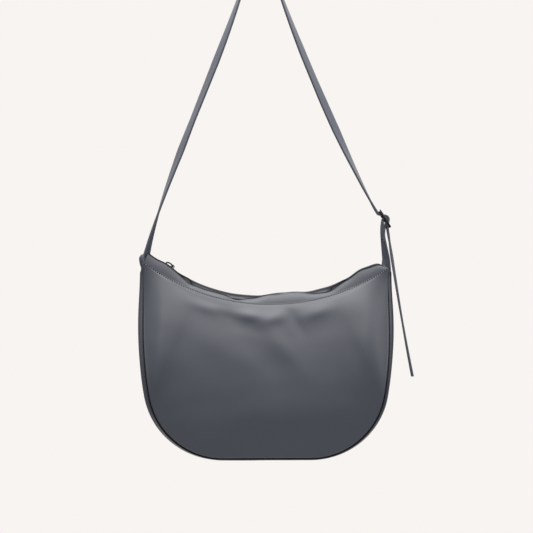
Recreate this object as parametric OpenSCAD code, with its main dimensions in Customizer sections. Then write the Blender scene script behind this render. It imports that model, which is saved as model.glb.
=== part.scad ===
// Crescent hobo bag in smooth leather, hanging by its buckled shoulder strap.
// Millimetres. The origin is the underside of the strap at the top of its loop, where a
// hook or a shoulder carries it. +X is the buckle side, +Y the back of the bag, +Z up.

/* [Bag body] */
// Width of the front and back panels
bag_w = 365; // [300:5:440]
// Height of the panels, from the mouth corners down to the base seam
bag_h = 286; // [238:1:345]
// How far the middle of the bag hangs to the buckle side of the hook
bag_shift = 9; // [0:1:20]
// Width of the gusset at the base
base_d = 90; // [72:1:110]
// Width of the gusset at the mouth corners
corner_d = 16; // [13:1:20]
// Length over which the gusset widens below each corner
taper_len = 190; // [150:5:230]
// Radius of the panels' lower corners
corner_r = 110; // [90:1:132]
// How much a panel swells beyond a straight wedge
panel_swell = 14; // [8:1:20]
// How far the gusset swells past the seams beside the corners
corner_swell = 6.5; // [4:0.5:7]
// How far the gusset swells past the seams at the sides
side_swell = 9.5; // [6:0.5:12]
// How far the gusset swells past the seam at the base
base_swell = 4; // [2:0.5:8]
// Thickness of the bag's leather
leather_t = 1.6; // [1.2:0.1:2]
// Thickness of the lining cloth
lining_t = 0.8; // [0.5:0.1:1]

/* [Mouth and zip] */
// How far the mouth's seam dips below the mouth corners
mouth_sag = 57.5; // [45:0.5:69]
// How far the lowest point of the mouth lies to the buckle side
mouth_lean = 6; // [0:1:10]
// Distance between the two panels' top edges at the middle
mouth_d = 26; // [22:1:32]
// Radius of the zip's curve, to the face of its tapes
zip_r = 277; // [250:1:320]
// Height of the zip above the mouth's seam at the middle
zip_rise = 8; // [6:0.5:12]
// Clear width between the two leather lips
lip_gap = 10.4; // [10:0.2:13]
// Width of the closed chain
chain_w = 6.4; // [5:0.2:7]
// Height of the chain above the tapes
chain_h = 2.4; // [2:0.1:3]
// Slot down the middle of the chain, where the slider's post runs
chain_slot = 1.4; // [1.2:0.1:1.8]
// Thickness of the zip tapes
tape_t = 0.6; // [0.4:0.1:0.8]
// Length of the slider
slider_l = 11; // [9:0.5:13]
// Diameter of the puller ring, through the middle of its wire
ring_d = 11.2; // [9:0.2:14]
// Diameter of the ring's wire
ring_wire = 1.6; // [1.2:0.1:1.8]
// How far the resting ring leans on the front lip, in degrees
ring_lean = 16; // [10:1:18]

/* [Strap] */
// Width of the strap
strap_w = 15; // [12.5:0.5:18]
// Thickness of the strap, both layers
strap_t = 3.2; // [2.6:0.1:3.8]
// Height from the bag's corners to the hook
strap_drop = 460; // [383:1:552]
// Radius of the hook under the strap
hook_r = 12; // [10:0.5:15]
// Thickness of the chape
chape_t = 2.2; // [1.8:0.1:2.4]
// Height of the buckle's centre bar above the bag's corner
chape_len = 59; // [50:1:70]
// Height of the free tail's tip below the bag's corner
tail_drop = 177; // [140:1:212]
// Diameter of the holes in the tail
hole_d = 3.2; // [2.6:0.1:3.8]

/* [Buckle] */
// Diameter of the buckle's wire
wire_d = 3; // [2.5:0.1:3.6]
// Diameter of the centre bar
bar_d = 2.8; // [2.3:0.1:2.9]
// Radius of the frame's four bends, to the middle of the wire
bend_r = 3; // [2.5:0.1:4]
// Distance from the centre bar to each end rail
rail_gap = 13.3; // [12.6:0.1:16]
// Slope of the buckle below level, in degrees
buckle_slope = 56; // [50:1:62]
// Diameter of the prong
prong_d = 2; // [1.6:0.1:2.2]

/* [Fits] */
// Gap at the seams between two leather pieces
seam_gap = 0.2; // [0.1:0.05:0.4]
// Clearance of the slider from the zip
slider_gap = 0.3; // [0.25:0.05:0.4]
// Clearance of the strap from the buckle's wire
strap_gap = 0.4; // [0.3:0.05:0.6]
// Running clearance of the prong's eye on the bar
prong_gap = 0.08; // [0.05:0.01:0.1]
// Clearance between the strap's end and the tab that it folds on
fold_gap = 1.3; // [0.8:0.1:2]

/* [Hidden] */
$fn = 48;

leather = "slategray";
lining = "dimgray";
black = "#222222";

// Places
axis_z = -strap_drop;
fold_drop = 11;
corner_z = axis_z - fold_drop;
base_z = corner_z - bag_h;
half_w = bag_w / 2;
mouth_x = bag_shift + mouth_lean;
// How far the edges of the strap's two tabs reach past the corners of the mouth
strap_reach = 5.5;
chape_reach = 2;
strap_x = bag_shift - half_w - strap_reach + strap_w / 2;
chape_x = bag_shift + half_w + chape_reach - strap_w / 2;

// ---- Small helpers ----
function mix(a, b, t) = a + (b - a) * t;
function clamp01(t) = max(0, min(1, t));
function smooth(t) = let(u = clamp01(t)) u * u * (3 - 2 * u);
function unit(v) = v / norm(v);
function bezier(p, t) =
  pow(1 - t, 3) * p[0] + 3 * pow(1 - t, 2) * t * p[1]
  + 3 * (1 - t) * t * t * p[2] + pow(t, 3) * p[3];
function bezier_points(p, n) = [for (k = [0:n]) bezier(p, k / n)];
function arc_points(c, r, from, to, n) =
  [for (k = [0:n]) let(a = mix(from, to, k / n)) c + r * [cos(a), sin(a)]];

// Closed solid between two grids of points with the same rows and columns
module skin(outer, inner) {
  rows = len(outer);
  cols = len(outer[0]);
  n = rows * cols;
  points = [for (grid = [outer, inner]) for (row = grid) for (p = row) p];
  function at(r, c) = r * cols + c;
  function quad(a, b, c, d) = [[a, b, c], [a, c, d]];
  faces = [
    for (r = [0:rows - 2]) for (c = [0:cols - 2]) for (f = concat(
      quad(at(r, c), at(r, c + 1), at(r + 1, c + 1), at(r + 1, c)),
      quad(n + at(r, c), n + at(r + 1, c), n + at(r + 1, c + 1), n + at(r, c + 1)))) f,
    for (r = [0:rows - 2]) for (f = concat(
      quad(at(r, 0), at(r + 1, 0), n + at(r + 1, 0), n + at(r, 0)),
      quad(at(r + 1, cols - 1), at(r, cols - 1), n + at(r, cols - 1), n + at(r + 1, cols - 1)))) f,
    for (c = [0:cols - 2]) for (f = concat(
      quad(at(0, c + 1), at(0, c), n + at(0, c), n + at(0, c + 1)),
      quad(at(rows - 1, c), at(rows - 1, c + 1), n + at(rows - 1, c + 1), n + at(rows - 1, c)))) f
  ];
  polyhedron(points, faces);
}

// Closed solid swept through a list of rings that have the same number of points. crossed
// splits its faces along their other diagonal, so that two layers share a twisted face.
module sweep(rings, crossed = false) {
  m = len(rings[0]);
  last = (len(rings) - 1) * m;
  points = [for (ring = rings) for (p = ring) p];
  faces = [
    [for (k = [0:m - 1]) k],
    [for (k = [m - 1:-1:0]) last + k],
    for (r = [0:len(rings) - 2]) for (k = [0:m - 1])
      let(a = r * m + k, b = r * m + (k + 1) % m)
      for (f = crossed ? [[b, a, b + m], [a, a + m, b + m]] : [[b, a, a + m], [b, a + m, b + m]]) f
  ];
  polyhedron(points, faces);
}

// ---- Outline of the panels: a straight side, a slow curve, a corner and a flat base ----
side_lean = 10;
side_r = 605;
outline_drop = 10;
top_z = corner_z - outline_drop;
flat_half = half_w - side_r * (1 - cos(side_lean)) - corner_r * cos(side_lean);
curve_z = base_z + corner_r + (side_r - corner_r) * sin(side_lean);
side_len = top_z - curve_z;
curve_len = side_r * side_lean * PI / 180;
round_len = corner_r * (90 - side_lean) * PI / 180;
half_len = side_len + curve_len + round_len + flat_half;

// Direction of the outward normal at a distance along half of the outline, in degrees
function half_turn(s) =
  s < side_len ? 0
  : s < side_len + curve_len ? -(s - side_len) / side_r * 180 / PI
  : s < side_len + curve_len + round_len
    ? -side_lean - (s - side_len - curve_len) / corner_r * 180 / PI
  : -90;
function half_point(s) =
  let(a = half_turn(s))
  s < side_len ? [half_w, top_z - s]
  : s < side_len + curve_len ? [half_w - side_r, curve_z] + side_r * [cos(a), sin(a)]
  : s < side_len + curve_len + round_len
    ? [flat_half, base_z + corner_r] + corner_r * [cos(a), sin(a)]
  : [flat_half - (s - side_len - curve_len - round_len), base_z];

// The whole outline, f from 0 at the strap's corner to 1 at the chape's corner
function edge_run(f) = 2 * half_len * min(f, 1 - f);
function edge_sign(f) = f < 0.5 ? -1 : 1;
function edge_point(f) =
  let(p = half_point(edge_run(f))) [bag_shift + edge_sign(f) * p[0], p[1]];
function edge_normal(f) =
  let(a = half_turn(edge_run(f))) [edge_sign(f) * cos(a), sin(a)];
swell_run = 80;
function gusset_half(f) = mix(corner_d, base_d, smooth(edge_run(f) / taper_len)) / 2;
function gusset_swell(f) =
  let(s = edge_run(f), sides = mix(corner_swell, side_swell, smooth(s / swell_run)))
  mix(sides, base_swell, smooth(-half_turn(s) / 90));

// ---- The mouth: seam of the panels, and the zip's curve above it ----
mouth_r = (half_w * half_w + mouth_sag * mouth_sag) / (2 * mouth_sag);
mouth_c = [mouth_x, corner_z - mouth_sag + mouth_r];
mouth_from = -asin((half_w + mouth_lean) / mouth_r);
mouth_to = asin((half_w - mouth_lean) / mouth_r);
function mouth_point(f) =
  let(a = mix(mouth_from, mouth_to, f)) mouth_c + mouth_r * [sin(a), -cos(a)];
function mouth_half(f) = mix(corner_d, mouth_d, pow(sin(180 * f), 0.6)) / 2;

zip_c = [mouth_x, corner_z - mouth_sag + zip_rise + zip_r];
zip_start_gap = 14;
zip_end_gap = 18;
zip_from = -asin((half_w + mouth_lean - zip_start_gap) / zip_r);
zip_to = asin((half_w - mouth_lean - zip_end_gap) / zip_r);
function zip_dir(f) = let(a = mix(zip_from, zip_to, f)) [sin(a), -cos(a)];

// A point of a panel's face: f along the mouth, v from the mouth (0) to the outline (1),
// and how far inside the leather's outer face it lies
function panel_point(f, v, inset) =
  let(
    edge = edge_point(f) - edge_normal(f) * inset,
    p = mix(mouth_point(f), edge, v),
    fullness = (gusset_half(f) * 2 - corner_d) / (base_d - corner_d),
    depth = mix(mouth_half(f), gusset_half(f), v) + panel_swell * 4 * v * (1 - v) * fullness)
  [p[0], inset - depth, p[1]];

function panel_grid(inset, nf, nv, v0 = 0) =
  [for (i = [0:nf]) [for (j = [0:nv]) panel_point(i / nf, mix(v0, 1, j / nv), inset)]];

// A row of the gusset, from front to back
function gusset_row(f, inset, nk) =
  let(
    p = edge_point(f), n = edge_normal(f),
    w = gusset_half(f) - seam_gap - inset,
    b = gusset_swell(f) - inset)
  [for (k = [0:nk]) let(a = mix(-90, 90, k / nk), q = p + n * (b * cos(a)))
    [q[0], w * sin(a), q[1]]];
function gusset_grid(inset, nf, nk, f0 = 0) =
  [for (i = [0:nf]) gusset_row(mix(f0, 1 - f0, i / nf), inset, nk)];

module front_panel_skin(inset, t, nf, nv, v0 = 0) {
  skin(panel_grid(inset, nf, nv, v0), panel_grid(inset + t, nf, nv, v0));
}

// ---- Facings and tapes, in the plane of depth (y) and distance below the zip's centre ----
lip_y = lip_gap / 2;
lip_lift = 0.1;
function lip_top(f) = let(r = zip_r - lip_lift - leather_t, d = zip_dir(f))
  [zip_c[0] + r * d[0], -lip_y, zip_c[1] + r * d[1]];
function lip_under(f) = let(r = zip_r - lip_lift, d = zip_dir(f))
  [zip_c[0] + r * d[0], -lip_y, zip_c[1] + r * d[1]];
function facing_foot(f) = let(p = mouth_point(f), d = zip_dir(f))
  [p[0] - seam_gap * d[0], -mouth_half(f), p[1] - seam_gap * d[1]];
// Direction into the bag, square to the facing
function facing_in(f) =
  let(e = facing_foot(f) - lip_top(f), d = zip_dir(f), fall = e[0] * d[0] + e[2] * d[1],
    n = unit([fall, -e[1]]))
  [n[1] * d[0], n[0], n[1] * d[1]];
facing_rows = 44;
// The facings stop short of the strap's corner, so that the strap can swing there
facing_from = 0.035;
function facing_at(i) = mix(facing_from, 1, i / facing_rows);

module front_facing_skin() {
  skin(
    [for (i = [0:facing_rows]) let(f = facing_at(i)) [lip_top(f), facing_foot(f)]],
    [for (i = [0:facing_rows]) let(f = facing_at(i))
      [lip_under(f), facing_foot(f) + [0, leather_t, 0]]]);
}

tape_share = 0.6;
// The tape starts at the chain, runs flat under the lip and then down under the facing
function tape_row(f, down) =
  let(d = zip_dir(f), r = zip_r + down, n = facing_in(f),
    foot = facing_foot(f) + leather_t * n,
    under = mix(lip_under(f), foot, tape_share) + (lip_lift + down) * n)
  [
    [zip_c[0] + r * d[0], -chain_slot / 2, zip_c[1] + r * d[1]],
    [zip_c[0] + r * d[0], -lip_y, zip_c[1] + r * d[1]],
    under
  ];
module front_tape_skin() {
  from = 0.04;
  to = 0.98;
  skin([for (i = [0:facing_rows]) tape_row(mix(from, to, i / facing_rows), 0)],
    [for (i = [0:facing_rows]) tape_row(mix(from, to, i / facing_rows), tape_t)]);
}

// ---- Zip hardware ----
top_stop_share = 0.07;
bottom_stop_share = 0.965;
top_stop_at = mix(zip_from, zip_to, top_stop_share);
slider_half_turn = asin(slider_l / 2 / zip_r);
stop_half_turn = 0.3;
turn_gap = 0.08;
slider_at = top_stop_at + stop_half_turn + turn_gap + slider_half_turn;
bottom_stop_at = mix(zip_from, zip_to, bottom_stop_share);

// Places its children on the zip's curve: x along it, z up from the face of the tapes
module on_zip(angle) {
  translate([zip_c[0], 0, zip_c[1]]) rotate([0, -angle, 0]) translate([0, 0, -zip_r]) children();
}

// An arc along the zip with a rectangular section: y from y0 to y1, height z0 to z1
module zip_arc(from, to, y0, y1, z0, z1) {
  translate([zip_c[0], 0, zip_c[1]])
    rotate([90, 0, 0])
      rotate([0, 0, from - 90])
        rotate_extrude(angle = to - from, $fn = 360)
          translate([zip_r - z1, -y1]) square([z1 - z0, y1 - y0]);
}

module teeth_row() {
  from = top_stop_at + stop_half_turn + turn_gap;
  to = bottom_stop_at - stop_half_turn - turn_gap;
  zip_arc(from, to, -chain_w / 2, -chain_slot / 2, 0.05, chain_h);
}

module stop_block(y0, y1) {
  l = 2 * zip_r * sin(stop_half_turn);
  translate([-l / 2, y0, 0.05]) cube([l, y1 - y0, chain_h - 0.3]);
}

// Flat bar with round ends, standing on z = 0
module stadium(l, w, h) {
  linear_extrude(h) {
    square([l - w, w], center = true);
    for (side = [-1, 1]) translate([side * (l - w) / 2, 0]) circle(d = w);
  }
}

plate_t = 1.2;
flange_t = 0.8;
slider_w = chain_w + 2 * (slider_gap + flange_t);
plate_z = chain_h + slider_gap;
bridge_w = 2.4;
bridge_wall = 1.1;
eye_r = ring_wire / 2 + bridge_w / 2 * tan(ring_lean) + 0.35;
eye_x = -1;
eye_lift = 0.5;
eye_z = plate_z + plate_t + eye_r + eye_lift;

// ---- Strap path: rows of [x, z, twist], from the strap's corner to the free tip ----
slope_d = [cos(buckle_slope), -sin(buckle_slope)];
slope_n = [sin(buckle_slope), cos(buckle_slope)];
bar_offset = 1.5;
bar = [chape_x + bar_offset, axis_z + chape_len];
function from_buckle(p) = bar + p[0] * slope_d + p[1] * slope_n;
wire_r = wire_d / 2;
chape_bore = bar_d / 2 + strap_gap;
rail_wrap = wire_r + strap_gap + strap_t / 2;
layer_gap = 0.15;
bar_wrap = chape_bore + chape_t + layer_gap + strap_t / 2;
weave = asin((rail_wrap + bar_wrap) / rail_gap);

hook_c = [0, -hook_r];
hook_path_r = hook_r + strap_t / 2;
left_exit = 14;
right_exit = 16;
left_top = hook_c + hook_path_r * [-cos(left_exit), sin(left_exit)];
right_top = hook_c + hook_path_r * [cos(right_exit), sin(right_exit)];
fold_reach = 1;
end_rise = 2.5;
left_lean = 12;
left_foot = [strap_x, axis_z - fold_reach];
handle_share = 0.28;
handle = strap_drop * handle_share;

// Twist of each leg against its height, as a share of the strap's drop
left_twists = [[-1.01, -90], [-1.001, -90], [-0.97, -24], [-0.858, 0], [-0.64, 35], [-0.54, 28], [-0.34, 37],
  [-0.16, 17], [-0.03, 0]];
right_twists = [[-0.84, 0], [-0.65, 34], [-0.53, 46], [-0.35, 36], [-0.16, 17], [-0.03, 0]];
function twisted(points, twists) =
  [for (p = points) [p[0], p[1], lookup(p[1] / strap_drop, twists)]];
function flat_rows(points) = [for (p = points) [p[0], p[1], 0]];
// Every point but the first, so that joined stretches share no point
function after_first(list) = [for (k = [1:len(list) - 1]) list[k]];

buckle_in = from_buckle([-rail_gap, -rail_wrap]);
rail_c = from_buckle([-rail_gap, 0]);
low_rail_c = from_buckle([rail_gap, 0]);
tail_reach = 42.5;
tail_tip = [chape_x + tail_reach, axis_z - tail_drop];
low_start = arc_points(low_rail_c, rail_wrap, -90 - weave - buckle_slope, -180, 3);
tail_start = low_start[3];
tail_curve = [tail_start, tail_start + [-0.5, -30], mix(tail_start, tail_tip, 0.56) + [2.5, 0],
  tail_tip];

left_start = left_foot + [0, end_rise];
left_leg = concat([left_foot], bezier_points([left_start,
  left_start + handle * [sin(left_lean), cos(left_lean)],
  left_top - handle * [sin(left_exit), cos(left_exit)], left_top], 26));
buckle_handle = 45;
right_leg = bezier_points([right_top, right_top + handle * [sin(right_exit), -cos(right_exit)],
  buckle_in - buckle_handle * slope_d, buckle_in], 18);

strap_path = concat(
  twisted(left_leg, left_twists),
  after_first(flat_rows(arc_points(hook_c, hook_path_r, 180 - left_exit, right_exit, 10))),
  after_first(twisted(right_leg, right_twists)),
  after_first(flat_rows(arc_points(rail_c, rail_wrap, -90 - buckle_slope,
    -90 + weave - buckle_slope, 4))),
  flat_rows(arc_points(bar, bar_wrap, 90 + weave - buckle_slope, 90 - weave - buckle_slope, 8)),
  flat_rows(low_start),
  after_first(flat_rows(bezier_points(tail_curve, 12))));

// Rectangular rings along a path: the width lies across the path, twisted about it, and
// the two faces lie at distances lo and hi from the path's middle
function band_rings(path, width, lo, hi) =
  [for (k = [0:len(path) - 1])
    let(
      p = path[k], a = path[max(k - 1, 0)], b = path[min(k + 1, len(path) - 1)],
      t = unit([b[0] - a[0], b[1] - a[1]]), side = [-t[1], 0, t[0]],
      across = [0, cos(p[2]), 0] + sin(p[2]) * side,
      out = [0, -sin(p[2]), 0] + cos(p[2]) * side,
      c = [p[0], 0, p[1]])
    [c - width / 2 * across + lo * out, c + width / 2 * across + lo * out,
     c + width / 2 * across + hi * out, c - width / 2 * across + hi * out]];

// Places its children on the centre bar: x down the buckle, z out of its face
module at_bar() {
  translate([bar[0], 0, bar[1]]) rotate([0, buckle_slope, 0]) children();
}

prong_rest = 0.05;
prong_z = wire_r + prong_d / 2 + prong_rest;
prong_bore = bar_d / 2 + prong_gap;
prong_wall = 1.7;
prong_eye = prong_bore + prong_wall;
slot_w = prong_d + 1;
slot_from = -8.2;
slot_to = -0.3;
module prong_slot() {
  at_bar() {
    translate([slot_from, -slot_w / 2, -5]) cube([slot_to - slot_from, slot_w, 16]);
    for (x = [slot_from, slot_to]) translate([x, 0, -5]) cylinder(d = slot_w, h = 16);
  }
}

tail_holes = [0.34, 0.47, 0.6, 0.73];
module tail_hole_cuts() {
  for (t = tail_holes) {
    p = bezier(tail_curve, t);
    run = unit(bezier(tail_curve, t + 0.02) - bezier(tail_curve, t - 0.02));
    translate([p[0], 0, p[1]]) rotate([0, atan2(-run[1], run[0]), 0])
      cylinder(d = hole_d, h = 3 * strap_t, center = true);
  }
}

module strap_layer(lo, hi, crossed) {
  difference() {
    sweep(band_rings(strap_path, strap_w, lo, hi), crossed);
    prong_slot();
    tail_hole_cuts();
  }
}

// ---- Chape path ----
chape_wrap = chape_bore + chape_t / 2;
chape_foot = [chape_x, axis_z - fold_reach];
chape_left = bar - [chape_wrap, 0];
inner_turn = -12;
inner_start = bar + chape_wrap * [cos(inner_turn), sin(inner_turn)];
inner_x = bar[0] - 1.2;
inner_end = [inner_x, bar[1] - 33];
chape_twists = [[-1.01, 90], [-1, 90], [-0.952, 0]];
chape_start = chape_foot + [0, end_rise];
chape_path = concat(
  twisted(concat([chape_foot], bezier_points([chape_start, chape_start + [-3.4, 19],
    chape_left - [2.2, 19], chape_left], 14)), chape_twists),
  after_first(flat_rows(arc_points(bar, chape_wrap, 180, inner_turn, 12))),
  after_first(flat_rows(bezier_points([inner_start, inner_start - [1.7, 7.8],
    [inner_x, inner_end[1] + 18], inner_end], 8))));

// ---- Pieces ----
module strap_face() color(leather) strap_layer(0, strap_t / 2, false);
module strap_back() color(leather) strap_layer(-strap_t / 2, 0, true);

module chape() {
  color(leather) difference() {
    sweep(band_rings(chape_path, strap_w, -chape_t / 2, chape_t / 2));
    at_bar() {
      translate([-6, -slot_w / 2 - 0.2, -1.5]) cube([12, slot_w + 0.4, 8]);
      rotate([90, 0, 0]) cylinder(r = prong_eye + 0.3, h = slot_w + 0.4, center = true);
    }
  }
}

module chape_stitch() {
  stitches = 4;
  pitch = (strap_w - 6) / (stitches - 1);
  color("darkslategray")
    for (k = [0:stitches - 1])
      translate([bar[0] - 7, (k - (stitches - 1) / 2) * pitch, inner_end[1] + 3])
        rotate([0, 90, 0]) cylinder(d = 0.8, h = 7.5);
}

rail_y = strap_w / 2 + 1 + bend_r;
module buckle_frame() {
  color(black) at_bar() {
    rotate([90, 0, 0]) cylinder(d = bar_d, h = 2 * rail_y, center = true);
    for (x = [-rail_gap, rail_gap])
      translate([x, 0, 0]) rotate([90, 0, 0])
        cylinder(d = wire_d, h = 2 * (rail_y - bend_r), center = true);
    for (y = [-rail_y, rail_y])
      translate([0, y, 0]) rotate([0, 90, 0])
        cylinder(d = wire_d, h = 2 * (rail_gap - bend_r), center = true);
    for (turn = [0:90:270]) {
      side = turn == 0 || turn == 270 ? 1 : -1;
      end = turn < 180 ? 1 : -1;
      translate([side * (rail_gap - bend_r), end * (rail_y - bend_r), 0])
        rotate([0, 0, turn]) rotate_extrude(angle = 90) translate([bend_r, 0]) circle(d = wire_d);
    }
  }
}

module buckle_prong() {
  reach = rail_gap + wire_r + 1;
  root = 2.4;
  color(black) at_bar() {
    rotate([90, 0, 0]) difference() {
      cylinder(r = prong_eye, h = prong_d + 0.4, center = true);
      cylinder(r = prong_bore, h = prong_d + 1, center = true);
    }
    translate([-reach, 0, prong_z]) {
      rotate([0, 90, 0]) cylinder(d = prong_d, h = reach - root);
      sphere(d = prong_d);
    }
  }
}

module front_panel() color(leather) front_panel_skin(0, leather_t, 44, 12);
module back_panel() color(leather) mirror([0, 1, 0]) front_panel_skin(0, leather_t, 44, 12);
gusset_rows = 44;
gusset_cols = 10;
module gusset() {
  color(leather)
    skin(gusset_grid(0, gusset_rows, gusset_cols), gusset_grid(leather_t, gusset_rows, gusset_cols));
}

module front_facing() color(leather) front_facing_skin();
module back_facing() color(leather) mirror([0, 1, 0]) front_facing_skin();

// Sewn thread along the top edge of a panel
thread_d = 0.7;
module topstitch() {
  rows = 60;
  down = 3;
  sweep([for (i = [0:rows])
    let(
      f = mix(0.01, 0.99, i / rows),
      v = down / norm(mouth_point(f) - edge_point(f)),
      p = panel_point(f, v, 0))
    [for (c = [[-1, -1], [-1, 1], [1, 1], [1, -1]])
      p + thread_d / 2 * [0, c[0], c[1]]]]);
}
module front_topstitch() color("darkslategray") topstitch();
module back_topstitch() color("darkslategray") mirror([0, 1, 0]) topstitch();

module zip_tape_front() color(black) front_tape_skin();
module zip_tape_back() color(black) mirror([0, 1, 0]) front_tape_skin();
module zip_teeth_front() color(black) teeth_row();
module zip_teeth_back() color(black) mirror([0, 1, 0]) teeth_row();

module zip_top_stops() {
  color(black) on_zip(top_stop_at) {
    stop_block(-chain_w / 2, -chain_slot / 2);
    stop_block(chain_slot / 2, chain_w / 2);
  }
}
module zip_bottom_stop() color(black) on_zip(bottom_stop_at) stop_block(-chain_w / 2, chain_w / 2);

module zip_slider() {
  under_z = tape_t + slider_gap;
  post_t = chain_slot - 2 * slider_gap;
  color(black) on_zip(slider_at) {
    translate([0, 0, plate_z]) stadium(slider_l, slider_w, plate_t);
    translate([0, 0, -under_z - plate_t]) stadium(slider_l, slider_w, plate_t);
    translate([-slider_l / 2 + 1.2, -post_t / 2, -under_z - 0.1])
      cube([3, post_t, under_z + plate_z + 0.2]);
    for (side = [-1, 1])
      translate([-2.5, side * (slider_w - flange_t) / 2 - flange_t / 2, slider_gap])
        cube([5, flange_t, plate_z - slider_gap + 0.1]);
    translate([eye_x, 0, eye_z]) rotate([90, 0, 0])
      linear_extrude(bridge_w, center = true) difference() {
        union() {
          circle(r = eye_r + bridge_wall);
          translate([-eye_r - bridge_wall, -eye_r - eye_lift - 0.2])
            square([2 * (eye_r + bridge_wall), eye_r + eye_lift + 0.2]);
        }
        circle(r = eye_r);
      }
  }
}

module puller_ring() {
  color(black) on_zip(slider_at)
    translate([eye_x - ring_d / 2, 0, eye_z]) rotate([ring_lean, 0, 0])
      rotate_extrude() translate([ring_d / 2, 0]) circle(d = ring_wire, $fn = 32);
}

// Sewn ends of the strap and the chape, inside the bag's corners
tab_len = 25;
module sewn_tab(x, t) {
  translate([x - strap_w / 2, -t / 2, axis_z - fold_reach - fold_gap - tab_len])
    cube([strap_w, t, tab_len]);
}
tab_shift = 1.2;
module strap_tab() color(leather) sewn_tab(strap_x + tab_shift, strap_t);
module chape_tab() color(leather) sewn_tab(chape_x, chape_t);

lining_inset = leather_t + 0.4;
lining_top = 0.04;
module lining_front() color(lining) front_panel_skin(lining_inset, lining_t, 32, 8, lining_top);
module lining_back() {
  color(lining) mirror([0, 1, 0]) front_panel_skin(lining_inset, lining_t, 32, 8, lining_top);
}
module lining_gusset() {
  f0 = 2 / gusset_rows;
  rows = gusset_rows - 4;
  color(lining)
    skin(gusset_grid(lining_inset, rows, gusset_cols, f0),
      gusset_grid(lining_inset + lining_t, rows, gusset_cols, f0));
}

// Open-topped pocket on the back lining: sewn at its sides and foot, slack in the middle
pocket_w = 0.24;
pocket_top = 0.34;
pocket_foot = 0.8;
pocket_slack = 9;
pocket_gap = 0.6;
function pocket_grid(extra) =
  let(n = 12, near = lining_inset + lining_t + pocket_gap)
  [for (i = [0:n]) [for (j = [0:n])
    let(
      a = i / n, b = j / n,
      lift = min(1, min(a, 1 - a) / 0.12) * min(1, (1 - b) / 0.12),
      at_v = mix(pocket_top, pocket_foot, b),
      p = panel_point(mix(0.5 - pocket_w / 2, 0.5 + pocket_w / 2, a), at_v, near))
    p + [0, pocket_slack * lift + extra, 0]]];
module slip_pocket() {
  color(lining) mirror([0, 1, 0]) skin(pocket_grid(0), pocket_grid(lining_t));
}

strap_face();
strap_back();
chape();
chape_stitch();
buckle_frame();
buckle_prong();
front_panel();
back_panel();
gusset();
front_facing();
back_facing();
front_topstitch();
back_topstitch();
zip_tape_front();
zip_tape_back();
zip_teeth_front();
zip_teeth_back();
zip_top_stops();
zip_bottom_stop();
zip_slider();
puller_ring();
strap_tab();
chape_tab();
lining_front();
lining_back();
lining_gusset();
slip_pocket();
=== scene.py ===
"""Crescent hobo bag in smooth slate leather, hanging by its buckled strap: its looks.

Sizes are in millimetres until a mesh is made, which is in metres. The origin is under the
strap at the top of its loop, +X is the buckle side, +Y the back and +Z up.
"""

from __future__ import annotations

import logging
import math
from collections.abc import Callable, Sequence
from dataclasses import dataclass, field
from enum import Enum

import bmesh
import bpy
from mathutils import Matrix, Vector, noise


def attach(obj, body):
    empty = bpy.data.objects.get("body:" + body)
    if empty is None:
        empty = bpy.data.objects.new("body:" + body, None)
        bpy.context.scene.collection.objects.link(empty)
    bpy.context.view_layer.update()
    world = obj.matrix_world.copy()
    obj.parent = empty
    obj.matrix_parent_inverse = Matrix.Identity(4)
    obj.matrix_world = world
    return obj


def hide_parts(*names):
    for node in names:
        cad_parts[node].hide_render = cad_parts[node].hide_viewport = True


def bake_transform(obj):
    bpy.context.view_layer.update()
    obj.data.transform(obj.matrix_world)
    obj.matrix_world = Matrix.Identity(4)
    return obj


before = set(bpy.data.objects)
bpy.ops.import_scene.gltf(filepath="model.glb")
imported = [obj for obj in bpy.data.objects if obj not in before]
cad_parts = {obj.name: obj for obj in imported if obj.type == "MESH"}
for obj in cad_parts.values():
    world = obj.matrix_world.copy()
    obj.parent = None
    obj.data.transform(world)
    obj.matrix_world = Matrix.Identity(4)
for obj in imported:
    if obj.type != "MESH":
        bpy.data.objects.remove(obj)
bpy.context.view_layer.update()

MM = 0.001
LOG = logging.getLogger("hobo_bag")

Point = tuple[float, float, float]
Colour = tuple[float, float, float]


class Body(Enum):
    """The rigid bodies of the bag."""

    STRAP = "strap"
    PRONG = "prong"
    BAG = "bag"
    SLIDER = "slider"
    RING = "ring"


class Side(Enum):
    """Which half of the bag a piece is on."""

    FRONT = -1
    BACK = 1


class Row(Enum):
    """What a row of a panel's mesh belongs to."""

    FOLD = "the folded top"
    FLAT = "the face"
    SEAM = "the turned seam"
    STITCH = "the line of stitches"


Station = tuple[Row, float]


# ---------------------------------------------------------------- numbers and curves


def mix(a: float, b: float, t: float) -> float:
    """The value a share t of the way from a to b."""
    return a + (b - a) * t


def smooth(t: float) -> float:
    """A ramp from 0 to 1 that starts and ends level."""
    u = min(1.0, max(0.0, t))
    return u * u * (3 - 2 * u)


def bump(x: float, centre: float, width: float) -> float:
    """A bell of height 1 at centre."""
    return math.exp(-(((x - centre) / width) ** 2))


def lookup(x: float, table: Sequence[tuple[float, float]]) -> float:
    """Reads a table, with straight lines between its rows.

    Args:
        x: where to read it.
        table: rows of (x, y), in rising x.

    Returns:
        The y there, or an end row's past the ends.
    """
    if x <= table[0][0]:
        return table[0][1]
    for (x0, y0), (x1, y1) in zip(table, table[1:]):
        if x <= x1:
            return mix(y0, y1, (x - x0) / (x1 - x0))
    return table[-1][1]


def bezier(p: Sequence[Vector], count: int) -> list[Vector]:
    """Points along a cubic curve.

    Args:
        p: its four control points.
        count: how many equal steps.

    Returns:
        count + 1 points.
    """
    out = []
    for k in range(count + 1):
        t = k / count
        s = 1 - t
        out.append(s**3 * p[0] + 3 * s * s * t * p[1] + 3 * s * t * t * p[2] + t**3 * p[3])
    return out


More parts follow.
